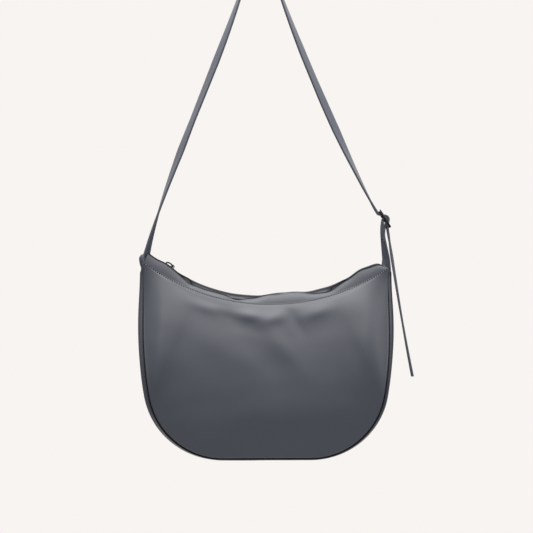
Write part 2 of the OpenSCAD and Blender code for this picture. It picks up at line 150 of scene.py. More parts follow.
def arc(centre: Vector, radius: float, start: float, end: float, count: int) -> list[Vector]:
    """Points along an arc in the plane of X and Z.

    Args:
        centre: the arc's centre.
        radius: its radius.
        start: its first angle, in degrees from +X towards +Z.
        end: its last angle.
        count: how many equal steps.

    Returns:
        count + 1 points.
    """
    out = []
    for k in range(count + 1):
        a = math.radians(mix(start, end, k / count))
        out.append(centre + radius * Vector((math.cos(a), math.sin(a))))
    return out


# ---------------------------------------------------------------- meshes


def mapped_grid(
    cols: int,
    rows: int,
    place: Callable[[float, float], Point],
    extent: tuple[float, float] = (1.0, 1.0),
    paint: Callable[[float, float], float] | None = None,
) -> bmesh.types.BMesh:
    """A grid laid over a surface.

    Args:
        cols: steps along u.
        rows: steps along v.
        place: gives the point in millimetres at (u, v), each from 0 to 1.
        extent: the surface's length and width in millimetres, for its UV map.
        paint: how much painted shade, a dark matte paint, lies on the leather at (u, v), from 0 to
            1.

    Returns:
        The mesh, in metres, with a UV map in metres.
    """
    bm = bmesh.new()
    uv = bm.loops.layers.uv.new("UVMap")
    bmesh.ops.create_grid(bm, x_segments=cols, y_segments=rows, size=0.5)
    for face in bm.faces:
        for loop in face.loops:
            co = loop.vert.co
            loop[uv].uv = ((co.x + 0.5) * extent[0] * MM, (co.y + 0.5) * extent[1] * MM)
    # A float layer of painted shade, which the leather's material reads as a dark paint.
    shade_layer = bm.verts.layers.float.new("paint") if paint else None
    for vert in bm.verts:
        u, v = vert.co.x + 0.5, vert.co.y + 0.5
        if paint:
            vert[shade_layer] = paint(u, v)
        vert.co = Vector(place(u, v)) * MM
    return bm


def close_mesh(bm: bmesh.types.BMesh, caps: bool = False) -> None:
    """Welds a mapped grid's meeting edges and turns its faces outwards.

    Args:
        bm: the grid.
        caps: closes its open ends.
    """
    bmesh.ops.remove_doubles(bm, verts=bm.verts, dist=2e-6)
    bmesh.ops.dissolve_degenerate(bm, edges=bm.edges, dist=1e-7)
    if caps:
        open_edges = [e for e in bm.edges if e.is_boundary]
        bmesh.ops.holes_fill(bm, edges=open_edges, sides=0)
    bmesh.ops.recalc_face_normals(bm, faces=bm.faces)


def thicken(bm: bmesh.types.BMesh, thickness: float, outside: Vector) -> None:
    """Gives a sheet its thickness, inwards from the face that looks along outside.

    Args:
        bm: the open sheet.
        thickness: in millimetres.
        outside: the direction that most of its faces look along.
    """
    bmesh.ops.recalc_face_normals(bm, faces=bm.faces)
    total = sum((f.normal * f.calc_area() for f in bm.faces), Vector())
    if total.dot(outside) < 0:
        bmesh.ops.reverse_faces(bm, faces=bm.faces)
    bm.normal_update()
    bmesh.ops.solidify(bm, geom=bm.faces[:], thickness=thickness * MM)
    bmesh.ops.recalc_face_normals(bm, faces=bm.faces)


def make_piece(
    name: str,
    bm: bmesh.types.BMesh,
    material: bpy.types.Material,
    nodes: Sequence[str] = (),
    sharp: float = 50.0,
) -> bpy.types.Object:
    """Turns a mesh into a piece of the bag.

    Args:
        name: the piece's name.
        bm: its mesh, in metres, which this frees.
        material: its finish.
        nodes: the CAD nodes that it stands for.
        sharp: edges that turn by more than this, in degrees, stay crisp.

    Returns:
        The linked object.
    """
    bm.normal_update()
    limit = math.radians(sharp)
    for edge in bm.edges:
        edge.smooth = not (len(edge.link_faces) == 2 and edge.calc_face_angle(0.0) > limit)
    for face in bm.faces:
        face.smooth = True
    mesh = bpy.data.meshes.new(name)
    bm.to_mesh(mesh)
    bm.free()
    obj = bpy.data.objects.new(name, mesh)
    bpy.context.scene.collection.objects.link(obj)
    mesh.materials.append(material)
    if nodes:
        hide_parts(*nodes)
    LOG.info("%s: %d faces", name, len(mesh.polygons))
    return obj


def tube(
    centres: Sequence[Point],
    radius: float,
    sides: int,
    closed: bool = False,
    up: Vector = Vector((0.0, 1.0, 0.0)),
) -> bmesh.types.BMesh:
    """A round wire along a line.

    Args:
        centres: the line's points, in millimetres.
        radius: the wire's.
        sides: faces around it.
        closed: the line meets its own start.
        up: a direction that the line never follows.

    Returns:
        The welded mesh, with closed ends.
    """
    points = [Vector(p) for p in centres]
    last = len(points) - 1

    def ring(u: float, v: float) -> Point:
        """The wire's surface at (u, v).

        Args:
            u: along the wire, from 0 to 1.
            v: round it, from 0 to 1.

        Returns:
            The point, in millimetres.
        """
        k = round(u * last)
        if closed:
            along = points[(k + 1) % last] - points[(k - 1) % last]
        else:
            along = points[min(k + 1, last)] - points[max(k - 1, 0)]
        along.normalize()
        side = along.cross(up).normalized()
        over = side.cross(along)
        a = math.tau * v
        return points[k] + radius * (math.cos(a) * side + math.sin(a) * over)

    bm = mapped_grid(last, sides, ring, (last, math.tau * radius))
    close_mesh(bm, caps=not closed)
    return bm


def merge(target: bmesh.types.BMesh, other: bmesh.types.BMesh) -> None:
    """Adds one mesh to another.

    Args:
        target: the mesh that grows.
        other: the mesh that is added, which this frees.
    """
    mesh = bpy.data.meshes.new("joining")
    other.to_mesh(mesh)
    other.free()
    target.from_mesh(mesh)
    bpy.data.meshes.remove(mesh)


def cut(obj: bpy.types.Object, cutter: bmesh.types.BMesh) -> None:
    """Takes a cutter's volume out of a closed piece.

    Args:
        obj: the piece.
        cutter: a closed mesh, in metres, which this frees.
    """
    mesh = bpy.data.meshes.new("cutter")
    cutter.to_mesh(mesh)
    cutter.free()
    tool = bpy.data.objects.new("cutter", mesh)
    bpy.context.scene.collection.objects.link(tool)
    modifier = obj.modifiers.new("cut", "BOOLEAN")
    modifier.operation = "DIFFERENCE"
    modifier.solver = "EXACT"
    modifier.object = tool
    graph = bpy.context.evaluated_depsgraph_get()
    done = bpy.data.meshes.new_from_object(obj.evaluated_get(graph))
    obj.modifiers.clear()
    old = obj.data
    obj.data = done
    bpy.data.meshes.remove(old)
    bpy.data.objects.remove(tool)
    bpy.data.meshes.remove(mesh)


def box_block(size: Point, at: Matrix, bevel: float, segments: int = 2) -> bmesh.types.BMesh:
    """A block with rounded edges.

    Args:
        size: its three sides, in millimetres.
        at: its place, in millimetres.
        bevel: the radius of its edges.
        segments: faces across each rounded edge.

    Returns:
        The mesh, in metres.
    """
    bm = bmesh.new()
    bmesh.ops.create_cube(bm, size=1.0)
    bmesh.ops.scale(bm, vec=Vector(size), verts=bm.verts)
    bmesh.ops.bevel(
        bm,
        geom=bm.edges[:],
        offset=bevel,
        segments=segments,
        profile=0.5,
        affect="EDGES",
        material=-1,
    )
    bmesh.ops.transform(bm, matrix=Matrix.Scale(MM, 4) @ at, verts=bm.verts)
    return bm


# ---------------------------------------------------------------- shaders


class Value:
    """A value socket that Python's operators add Math nodes to."""

    def __init__(self, nodes: Nodes, socket: bpy.types.NodeSocket) -> None:
        """Keeps the node tree and the socket."""
        self.nodes = nodes
        self.socket = socket

    def _math(self, operation: str, first: object, second: object) -> Value:
        """Adds one Math node."""
        return self.nodes.add("ShaderNodeMath", {"operation": operation}, {0: first, 1: second})

    def __add__(self, other: object) -> Value:
        """self + other."""
        return self._math("ADD", self, other)

    __radd__ = __add__

    def __mul__(self, other: object) -> Value:
        """self * other."""
        return self._math("MULTIPLY", self, other)

    __rmul__ = __mul__


class Nodes:
    """A node tree that grows from nothing."""

    def __init__(self, tree: bpy.types.NodeTree) -> None:
        """Empties the tree."""
        self.tree = tree
        self.tree.nodes.clear()

    def add(self, kind: str, settings: dict, inputs: dict, output: object = 0) -> Value:
        """Adds a node.

        Args:
            kind: the node's type.
            settings: its own properties; "stops" fills a colour ramp.
            inputs: values or links, by socket name or number.
            output: the socket that the result wraps.

        Returns:
            The output, ready for more operators.
        """
        node = self.tree.nodes.new(kind)
        for key, value in settings.items():
            if key == "stops":
                ramp = node.color_ramp
                while len(ramp.elements) < len(value):
                    ramp.elements.new(0.5)
                for element, (at, shade) in zip(ramp.elements, value):
                    element.position = at
                    element.color = (shade, shade, shade, 1.0)
            else:
                setattr(node, key, value)
        for key, value in inputs.items():
            if isinstance(value, Value):
                self.tree.links.new(value.socket, node.inputs[key])
            else:
                node.inputs[key].default_value = value
        return Value(self, node.outputs[output])

    def end(self, kind: str, surface: Value) -> None:
        """Joins a surface to an output node of that type."""
        out = self.tree.nodes.new(kind)
        self.tree.links.new(surface.socket, out.inputs["Surface"])


class Shader(Nodes):
    """One material's node tree."""

    def __init__(self, name: str) -> None:
        """Starts an empty material.

        Args:
            name: the material's name.
        """
        self.material = bpy.data.materials.new(name)
        self.material.use_nodes = True
        super().__init__(self.material.node_tree)

    def place(self) -> Value:
        """The point on the object, in metres."""
        return self.add("ShaderNodeTexCoord", {}, {}, "Object")

    def uv(self) -> Value:
        """The piece's own UV map, in metres."""
        return self.add("ShaderNodeUVMap", {"uv_map": "UVMap"}, {}, "UV")

    def attribute(self, name: str) -> Value:
        """A value kept on the mesh, or 0 where the mesh has none."""
        return self.add("ShaderNodeAttribute", {"attribute_name": name}, {}, "Fac")

    def noise(self, at: Value, scale: float, detail: float = 3.0, rough: float = 0.5) -> Value:
        """Cloudy noise from 0 to 1, with scale in features per metre."""
        inputs = {"Vector": at, "Scale": scale, "Detail": detail, "Roughness": rough}
        return self.add("ShaderNodeTexNoise", {}, inputs, 0)

    def cells(self, at: Value, scale: float) -> Value:
        """Distance to the nearest cell's middle."""
        inputs = {"Vector": at, "Scale": scale, "Randomness": 0.9}
        return self.add("ShaderNodeTexVoronoi", {"feature": "F1"}, inputs, "Distance")

    def ramp(self, value: Value, *stops: tuple[float, float]) -> Value:
        """A grey ramp with the given (position, shade) stops."""
        return self.add("ShaderNodeValToRGB", {"stops": stops}, {"Fac": value}, 0)

    def blend(self, factor: Value, a: Colour, b: Colour) -> Value:
        """A colour between a and b."""
        inputs = {0: factor, 6: (*a, 1.0), 7: (*b, 1.0)}
        return self.add("ShaderNodeMix", {"data_type": "RGBA"}, inputs, 2)

    def relief(self, height: Value, depth: float, strength: float = 1.0) -> Value:
        """A bump of that depth in metres."""
        inputs = {"Height": height, "Distance": depth, "Strength": strength}
        return self.add("ShaderNodeBump", {}, inputs, 0)

    def surface(self, **sockets: object) -> Value:
        """A surface shader, with underscores for the spaces in its sockets' names."""
        inputs = {key.replace("_", " "): value for key, value in sockets.items()}
        return self.add("ShaderNodeBsdfPrincipled", {}, inputs, 0)

    def close(self, **sockets: object) -> bpy.types.Material:
        """Adds one surface shader and ends the material."""
        return self.finish(self.surface(**sockets))

    def finish(self, surface: Value) -> bpy.types.Material:
        """Ends the material with a surface."""
        self.end("ShaderNodeOutputMaterial", surface)
        return self.material


def shade(colour: Colour, factor: float) -> Colour:
    """The colour made lighter or darker."""
    return (colour[0] * factor, colour[1] * factor, colour[2] * factor)


@dataclass(frozen=True)
class LeatherFinish:
    """Smooth dyed leather with a fine grain and a satin top coat, mixed with a dark painted shade
    where the mesh asks for it.
    """

    name: str
    colour: Colour
    roughness: float = 0.46
    grain: float = 900.0
    grain_depth: float = 0.00006
    coat: float = 0.08
    coat_roughness: float = 0.42
    specular: float = 0.38
    # The dark matte colour, roughness and specular of the painted shade that a mesh can ask for in
    # seams and along lips.
    paint: Colour = (0.004, 0.004, 0.005)
    painted_shade_roughness: float = 0.8
    painted_shade_specular: float = 0.05

    def build(self) -> bpy.types.Material:
        """Makes the finish.

        Returns:
            The material.
        """
        s = Shader(self.name)
        at = s.place()
        clouds = s.noise(at, 9.0, 3.0, 0.55)
        speckle = s.noise(at, 420.0, 2.0, 0.6)
        tone = clouds * 0.75 + speckle * 0.25
        colour = s.blend(tone, shade(self.colour, 0.9), shade(self.colour, 1.1))
        pebbles = s.cells(at, self.grain)
        pores = s.noise(at, self.grain * 1.7, 2.0, 0.5)
        creases = s.noise(at, 130.0, 4.0, 0.6)
        height = pebbles * 0.5 + pores * 0.35 + creases * 0.5
        leather = s.surface(
            Base_Color=colour,
            Roughness=clouds * 0.1 + speckle * 0.06 + (self.roughness - 0.08),
            Coat_Weight=self.coat,
            Coat_Roughness=self.coat_roughness,
            Specular_IOR_Level=self.specular,
            Normal=s.relief(height, self.grain_depth, 0.6),
        )
        # A dark matte surface mixed in where a mesh asks for it: painted shade in the gusset's seam
        # grooves and along the zip's lips.
        painted_shade_tone = s.blend(pores, self.paint, shade(self.paint, 1.6))
        paint = s.surface(
            Base_Color=painted_shade_tone,
            Roughness=self.painted_shade_roughness,
            Specular_IOR_Level=self.painted_shade_specular,
        )
        inputs = {0: s.attribute("paint"), 1: leather, 2: paint}
        return s.finish(s.add("ShaderNodeMixShader", {}, inputs, 0))


@dataclass(frozen=True)
class ClothFinish:
    """Twill or tape with a visible weave."""

    name: str
    colour: Colour
    pitch: float = 0.0007
    roughness: float = 0.85
    sheen: float = 0.03
    bias: float = 35.0

    def build(self) -> bpy.types.Material:
        """Makes the finish.

        Returns:
            The material.
        """
        s = Shader(self.name)
        at = s.uv()
        inputs = {"Vector": at, "Rotation": (0.0, 0.0, math.radians(self.bias))}
        turned = s.add("ShaderNodeMapping", {}, inputs)
        warp = self.bands(s, turned, "X")
        weft = self.bands(s, at, "Y")
        fuzz = s.noise(at, 2600.0, 2.0, 0.6)
        weave = warp * 0.6 + weft * 0.4
        tone = weave * 0.6 + fuzz * 0.4
        colour = s.blend(tone, shade(self.colour, 0.72), shade(self.colour, 1.2))
        return s.close(
            Base_Color=colour,
            Roughness=fuzz * 0.1 + (self.roughness - 0.05),
            Sheen_Weight=self.sheen,
            Normal=s.relief(tone, 0.00015, 0.7),
        )

    def bands(self, s: Shader, at: Value, direction: str) -> Value:
        """The parallel threads that cross one direction."""
        settings = {"wave_type": "BANDS", "bands_direction": direction, "wave_profile": "SIN"}
        return s.add("ShaderNodeTexWave", settings, {"Vector": at, "Scale": 0.32 / self.pitch}, 1)


@dataclass(frozen=True)
class HardFinish:
    """Moulded nylon or enamelled metal with a little wear."""

    name: str
    colour: Colour
    roughness: float
    specular: float = 0.12

    def build(self) -> bpy.types.Material:
        """Makes the finish.

        Returns:
            The material.
        """
        s = Shader(self.name)
        at = s.place()
        haze = s.noise(at, 260.0, 3.0, 0.6)
        scuffs = s.ramp(s.noise(at, 1500.0, 4.0, 0.7), (0.58, 0.0), (0.75, 1.0))
        colour = s.blend(scuffs * 0.5 + haze * 0.3, self.colour, shade(self.colour, 2.2))
        return s.close(
            Base_Color=colour,
            Roughness=haze * 0.12 + scuffs * 0.1 + (self.roughness - 0.06),
            Specular_IOR_Level=self.specular,
            Normal=s.relief(haze, 0.00002, 0.4),
        )


@dataclass(frozen=True)
class ThreadFinish:
    """Twisted waxed thread."""

    name: str
    colour: Colour

    def build(self) -> bpy.types.Material:
        """Makes the finish.

        Returns:
            The material.
        """
        s = Shader(self.name)
        strands = s.noise(s.place(), 3200.0, 2.0, 0.5)
        colour = s.blend(strands, shade(self.colour, 0.7), shade(self.colour, 1.3))
        return s.close(
            Base_Color=colour,
            Roughness=strands * 0.2 + 0.7,
            Specular_IOR_Level=0.1,
            Normal=s.relief(strands, 0.00008, 0.6),
        )


class Finishes:
    """The bag's materials, each made once."""

    def __init__(self) -> None:
        """Builds every finish."""
        slate = (0.0215, 0.0245, 0.0335)
        self.leather = LeatherFinish("slate_leather", slate).build()
        # The strap's leather is the slate made lighter: painted light standing in for the light
        # that its turned, edge-on faces catch.
        self.strap = LeatherFinish("strap_leather", shade(slate, 1.5), roughness=0.44).build()
        self.lining = ClothFinish("lining_twill", (0.1, 0.104, 0.116)).build()
        self.tape = ClothFinish("zip_tape_weave", (0.007, 0.007, 0.008), pitch=0.0006).build()
        self.coil = HardFinish("nylon_coil", (0.005, 0.005, 0.006), 0.55).build()
        self.enamel = HardFinish("black_enamel", (0.003, 0.003, 0.0034), 0.5).build()
        self.thread = ThreadFinish("dark_thread", (0.004, 0.0045, 0.0055)).build()


# ---------------------------------------------------------------- the bag's shape


@dataclass(frozen=True)
class Ripple:
    """A soft wave in a lip: how far it lifts at one place along the zip."""

    at: float
    lift: float
    width: float


@dataclass(frozen=True)
class Dent:
    """A soft ridge or hollow in a panel, as a turned bell."""

    x: float
    z: float
    length: float
    width: float
    turn: float
    height: float

    def height_at(self, x: float, z: float) -> float:
        """How far it lifts the leather.

        Args:
            x: the place along the bag.
            z: the place up it.

        Returns:
            The lift in millimetres, below 0 in a hollow.
        """
        a = math.radians(self.turn)
        u = (x - self.x) * math.cos(a) + (z - self.z) * math.sin(a)
        v = (z - self.z) * math.cos(a) - (x - self.x) * math.sin(a)
        return self.height * math.exp(-((u / self.length) ** 2) - (v / self.width) ** 2)


@dataclass(frozen=True)
class BagShape:
    """The outline of the panels, the gusset's section and the mouth's curves."""

    half_w: float = 182.5
    bag_x: float = 9.0
    corner_z: float = -471.0
    base_z: float = -757.0
    top_z: float = -481.0
    side_r: float = 605.0
    side_lean: float = 10.0
    corner_r: float = 110.0
    base_d: float = 90.0
    corner_d: float = 16.0
    taper: float = 190.0
    panel_swell: float = 14.0
    ear_swell: float = 6.5
    side_swell: float = 9.5
    side_swell_run: float = 80.0
    base_swell: float = 4.0
    mouth_x: float = 15.0
    mouth_sag: float = 57.5
    mouth_d: float = 26.0
    mouth_bow: float = 0.6
    zip_r: float = 277.0
    zip_z: float = -243.5
    sunk_from: float = -26.5
    sunk_to: float = 20.5
    sunk_run: float = 4.0

    @property
    def lengths(self) -> tuple[float, float, float, float]:
        """The lengths of half of the outline's stretches, from the top down.

        Returns:
            The side's, the slow curve's, the corner's and the flat base's lengths.
        """
        lean = math.radians(self.side_lean)
        flat = self.half_w - self.side_r * (1 - math.cos(lean)) - self.corner_r * math.cos(lean)
        curve_z = self.base_z + self.corner_r + (self.side_r - self.corner_r) * math.sin(lean)
        side = self.top_z - curve_z
        return side, self.side_r * lean, self.corner_r * (math.pi / 2 - lean), flat

    def edge(self, f: float) -> tuple[Vector, Vector]:
        """A place on the outline.

        Args:
            f: from 0 at the strap's corner to 1 at the chape's.

        Returns:
            The point and its outward normal, in X and Z.
        """
        side, curve, rounding, flat = self.lengths
        half = side + curve + rounding + flat
        s = 2 * half * min(f, 1 - f)
        sign = -1.0 if f < 0.5 else 1.0
        if s < side:
            p, a = Vector((self.half_w, self.top_z - s)), 0.0
        elif s < side + curve:
            a = -(s - side) / self.side_r
            centre = Vector((self.half_w - self.side_r, self.top_z - side))
            p = centre + self.side_r * Vector((math.cos(a), math.sin(a)))
        elif s < side + curve + rounding:
            a = -math.radians(self.side_lean) - (s - side - curve) / self.corner_r
            centre = Vector((flat, self.base_z + self.corner_r))
            p = centre + self.corner_r * Vector((math.cos(a), math.sin(a)))
        else:
            a = -math.pi / 2
            p = Vector((flat - (s - side - curve - rounding), self.base_z))
        normal = Vector((sign * math.cos(a), math.sin(a)))
        return Vector((self.bag_x + sign * p.x, p.y)), normal

    def run(self, f: float) -> float:
        """Distance along the outline from the nearer corner."""
        return 2 * sum(self.lengths) * min(f, 1 - f)

    def gusset_half(self, f: float) -> float:
        """Half of the gusset's width."""
        return mix(self.corner_d, self.base_d, smooth(self.run(f) / self.taper)) / 2

    def gusset_swell(self, f: float) -> float:
        """How far the gusset stands out past the seams.

        Args:
            f: the place along the outline, from 0 to 1.

        Returns:
            The swell, in millimetres.
        """
        sides = mix(self.ear_swell, self.side_swell, smooth(self.run(f) / self.side_swell_run))
        normal = self.edge(f)[1]
        turned = -math.atan2(normal.y, abs(normal.x)) / (math.pi / 2)
        return mix(sides, self.base_swell, smooth(turned))

    def mouth(self, f: float) -> tuple[Vector, Vector]:
        """A place on the mouth, where the panels' top edges are.

        Args:
            f: from 0 at the strap's corner to 1 at the chape's.

        Returns:
            The point and its upward direction, in X and Z.
        """
        r = (self.half_w**2 + self.mouth_sag**2) / (2 * self.mouth_sag)
        centre = Vector((self.mouth_x, self.corner_z - self.mouth_sag + r))
        lean = self.mouth_x - self.bag_x
        start = -math.asin((self.half_w + lean) / r)
        end = math.asin((self.half_w - lean) / r)
        a = mix(start, end, f)
        down = Vector((math.sin(a), -math.cos(a)))
        return centre + r * down, -down

    def mouth_half(self, f: float) -> float:
        """Half of the distance between the panels' top edges."""
        return mix(self.corner_d, self.mouth_d, self.bow(f)) / 2

    def bow(self, f: float) -> float:
        """A share that rises from 0 at the corners to 1 in the middle."""
        return max(0.0, math.sin(math.pi * min(1.0, max(0.0, f)))) ** self.mouth_bow

    def zip_point(self, angle: float, radius: float) -> Vector:
        """A point by the zip's curve.

        Args:
            angle: in degrees from straight down.
            radius: from the curve's centre.

        Returns:
            The point, in X and Z.
        """
        a = math.radians(angle)
        return Vector((self.mouth_x, self.zip_z)) + radius * Vector((math.sin(a), -math.cos(a)))

    def panel(self, f: float, v: float, inset: float) -> Vector:
        """The plain swelling surface of a panel.

        Args:
            f: along the mouth, from 0 to 1.
            v: from 0 at the mouth to 1 at the outline.
            inset: how far inside the leather's face.

        Returns:
            The point, as on the front panel.
        """
        edge, normal = self.edge(f)
        p = self.mouth(f)[0].lerp(edge - normal * inset, v)
        fullness = (self.gusset_half(f) * 2 - self.corner_d) / (self.base_d - self.corner_d)
        depth = mix(self.mouth_half(f), self.gusset_half(f), v)
        depth += self.panel_swell * 4 * v * (1 - v) * fullness
        return Vector((p.x, inset - depth, p.y))

    def sunk_share(self, angle: float) -> float:
        """How much the closed chain hides between the lips, from 0 to 1, along the zip."""
        start = smooth((angle - self.sunk_from) / self.sunk_run)
        return start * smooth((self.sunk_to - angle) / self.sunk_run)


# ---------------------------------------------------------------- leather body


@dataclass
class LeatherBody:
    """The two panels and the gusset round their sides.

    An ear is the gusset's soft end above a corner. Its rows hold a height, a place past the
    corner, a swell and half of a width.
    """

    shape: BagShape
    finishes: Finishes
    panel_t: float = 0.9
    gusset_t: float = 1.0
    roll: float = 2.1
    top_fold: float = 1.3
    fold_r: float = 0.2
    shoulder: float = 3.8
    shoulder_run: float = 0.04
    top_fade: float = 0.05
    seam_fade: float = 0.1
    seam_set_back: float = 1.3
    wave: float = 1.1
    wave_scale: float = 0.011
    fine_wave: float = 0.35
    panel_cols: int = 190
    panel_rows: int = 72
    row_spread: float = 1.3
    gusset_gap: float = 1.7
    gusset_cols: int = 170
    gusset_rounds: int = 34
    gusset_slack: float = 0.5
    tuck_share: float = 0.14
    tuck_in: float = 3.6
    tuck_back: float = 3.2
    # Painted shade in the seam grooves, a dark band on the gusset's edges: where it starts across
    # the gusset, and where it fades out beside the ears.
    painted_shade_from: float = 0.74
    painted_shade_fade: float = 0.05
    painted_shade_end: float = 0.045
    painted_shade_end_fade: float = 0.03
    strap_ear: tuple[tuple[float, float, float, float], ...] = (
        (-453.0, 2.0, 0.3, 3.4),
        (-452.9, 1.0, 1.8, 4.4),
        (-453.6, 0.0, 4.0, 5.6),
        (-455.5, -0.4, 6.0, 6.4),
        (-459.0, -0.5, 7.4, 7.0),
        (-464.0, -0.2, 7.4, 7.5),
        (-469.0, 0.0, 6.6, 7.8),
        (-474.0, 0.2, 5.0, 7.8),
        (-478.0, 0.1, 5.4, 7.7),
    )
    chape_ear: tuple[tuple[float, float, float, float], ...] = (
        (-478.5, -0.3, 5.8, 7.6),
        (-476.0, -0.9, 5.0, 7.2),
        (-474.0, -1.6, 4.0, 6.6),
        (-472.8, -2.4, 2.6, 5.8),
        (-472.4, -3.4, 1.2, 4.8),
        (-472.8, -4.6, 0.2, 3.8),
    )
    dents: dict[Side, tuple[Dent, ...]] = field(
        default_factory=lambda: {
            Side.FRONT: (
                Dent(-78, -534, 26, 8, -18, 1.6),
                Dent(-52, -545, 20, 7, -20, -1.0),
                Dent(-16, -545, 20, 8, -8, 2.2),
                Dent(-22, -563, 40, 10, -14, -1.0),
                Dent(20, -549, 18, 9, 14, 2.0),
                Dent(50, -552, 24, 9, -60, -1.5),
                Dent(84, -540, 26, 9, 18, 1.8),
                Dent(92, -562, 40, 14, 20, -0.8),
                Dent(30, -588, 46, 14, -50, 1.9),
                Dent(2, -606, 46, 16, -50, -1.1),
                Dent(-60, -590, 60, 20, -30, 1.2),
                Dent(164, -566, 44, 15, 88, 1.0),
                Dent(142, -572, 46, 14, 84, -0.8),
                Dent(-150, -560, 70, 13, 86, 2.2),
                Dent(-124, -590, 64, 22, 80, -1.6),
                Dent(40, -690, 120, 26, 4, 1.2),
            ),
            Side.BACK: (
                Dent(-40, -560, 60, 12, -22, 2.0),
                Dent(60, -552, 44, 11, 18, -1.8),
                Dent(120, -600, 50, 16, 60, 1.6),
                Dent(-110, -610, 60, 18, -62, -1.6),
                Dent(10, -680, 110, 28, -4, 1.2),
            ),
        }
    )

    def relief(self, side: Side, x: float, z: float) -> float:
        """The soft ups and downs of a panel.

        Args:
            side: which panel.
            x: the place along the bag.
            z: the place up it.

        Returns:
            How far the leather stands out, in millimetres.
        """
        total = sum(d.height_at(x, z) for d in self.dents[side])
        place = Vector((x * self.wave_scale, side.value * 3.7, z * self.wave_scale))
        return total + self.wave * noise.noise(place) + self.fine_wave * noise.noise(place * 3.1)

    def stations(self) -> list[Station]:
        """The rows of a panel, from its folded top to its turned seam.

        Returns:
            Each row's kind, with its angle in degrees or its share of the height.
        """
        count = self.panel_rows
        top = [(Row.FOLD, a) for a in (100.0, 60.0, 20.0)]
        flat = [(Row.FLAT, (k / count) ** self.row_spread) for k in range(count + 1)]
        seam = [(Row.SEAM, a) for a in (15.0, 32.0, 50.0, 70.0, 90.0, 110.0)]
        return top + flat + seam

    def panel_point(self, side: Side, f: float, station: Station) -> Point:
        """A panel's outer surface.

        Args:
            side: which panel.
            f: along the mouth, from 0 to 1.
            station: the row's kind, and its angle or its share of the height.

        Returns:
            The point, in millimetres.
        """
        kind, value = station
        shape = self.shape
        edge, normal = shape.edge(f)
        mouth, up = shape.mouth(f)
        length = (edge - mouth).length
        share = value if kind is Row.FLAT else (0.0 if kind is Row.FOLD else 1.0)
        last = 1 - (self.roll + self.seam_set_back) / length
        v = -self.top_fold / length + share * (last + self.top_fold / length)
        if kind is Row.STITCH:
            v = 0.0
        p = shape.panel(f, max(0.0, v), 0.0)
        if v < 0:
            p += Vector((up.x, 0.5, up.y)) * (-v * length)
        fade = smooth(v / self.top_fade) * smooth((1 - v) / self.seam_fade)
        p.y -= self.relief(side, p.x, p.z) * fade
        if v > 0:
            rise = (1 - math.exp(-v / self.shoulder_run)) * (1 - v) ** 2
            p.y -= self.shoulder * rise * shape.bow(f) ** 3
        a = math.radians(value)
        if kind is Row.FOLD:
            p += Vector((up.x, 0.0, up.y)) * (self.fold_r * math.sin(a))
            p.y += self.fold_r * (1 - math.cos(a))
        if kind is Row.SEAM:
            out = self.roll * math.sin(a)
            p += Vector((normal.x * out, self.roll * (1 - math.cos(a)), normal.y * out))
        return (p.x, p.y * -side.value, p.z)

    def build_panel(self, side: Side) -> bpy.types.Object:
        """Makes one panel, with its top edge folded and its seam turned in.

        Args:
            side: which panel.

        Returns:
            The piece.
        """
        rows = self.stations()

        def place(u: float, v: float) -> Point:
            """The surface at (u, v)."""
            return self.panel_point(side, u, rows[round(v * (len(rows) - 1))])

        bm = mapped_grid(self.panel_cols, len(rows) - 1, place, (400, 290))
        thicken(bm, self.panel_t, Vector((0, side.value, 0)))
        name = side.name.lower()
        return make_piece(
            f"{name}_panel_leather", bm, self.finishes.leather, [f"{name}_panel"], 70
        )

    def gusset_rows(self) -> list[tuple[Vector, Vector, float, float]]:
        """The gusset's rows, from the ear at the strap's corner round to the other.

        Returns:
            Each row's seam point, outward normal, half width and swell.
        """
        shape = self.shape
        rows = []
        left = shape.edge(0.0)[0].x
        right = shape.edge(1.0)[0].x
        for z, x, swell, half in self.strap_ear:
            rows.append((Vector((left + x, z)), Vector((-1, 0)), half, swell))
        for k in range(self.gusset_cols + 1):
            f = k / self.gusset_cols
            edge, normal = shape.edge(f)
            half = shape.gusset_half(f) - self.gusset_gap
            rows.append((edge, normal, half, shape.gusset_swell(f)))
        for z, x, swell, half in self.chape_ear:
            rows.append((Vector((right + x, z)), Vector((1, 0)), half, swell))
        return rows

    def build_gusset(self) -> bpy.types.Object:
        """Makes the gusset, one strip whose edges are tucked in behind the seams.

        Returns:
            The piece.
        """
        rows = self.gusset_rows()

        def place(u: float, v: float) -> Point:
            """The surface at (u, v).

            Args:
                u: along the strip, from 0 to 1.
                v: from the front seam to the back one.

            Returns:
                The point, in millimetres.
            """
            p, n, half, swell = rows[round(u * (len(rows) - 1))]
            t = mix(-1 - self.tuck_share, 1 + self.tuck_share, v)
            tuck = max(0.0, abs(t) - 1) / self.tuck_share
            a = math.radians(90 * min(1.0, max(-1.0, t)))
            y = half * math.sin(a) - math.copysign(self.tuck_in * tuck, t)
            out = swell * math.cos(a) ** 0.8 if abs(t) < 1 else -self.tuck_back * tuck
            slack = self.gusset_slack * noise.noise(Vector((p.x * 0.02, y * 0.03, p.y * 0.02)))
            out += slack * math.cos(a)
            return (p.x + n.x * out, y, p.y + n.y * out)

        def paint(u: float, v: float) -> float:
            """The painted shade in the seam grooves, which fades out beside the ears."""
            seam = smooth((abs(2 * v - 1) - self.painted_shade_from) / self.painted_shade_fade)
            return seam * smooth((min(u, 1 - u) - self.painted_shade_end) / self.painted_shade_end_fade)

        bm = mapped_grid(len(rows) - 1, self.gusset_rounds, place, (1000, 90), paint)
        centre = Vector((self.shape.bag_x, 0, -600)) * MM
        bmesh.ops.recalc_face_normals(bm, faces=bm.faces)
        outward = sum((f.calc_center_median() - centre).dot(f.normal) for f in bm.faces)
        if outward < 0:
            bmesh.ops.reverse_faces(bm, faces=bm.faces)
        bm.normal_update()
        bmesh.ops.solidify(bm, geom=bm.faces[:], thickness=self.gusset_t * MM)
        bmesh.ops.recalc_face_normals(bm, faces=bm.faces)
        return make_piece(
            "gusset_leather", bm, self.finishes.leather, ["gusset"], 70
        )


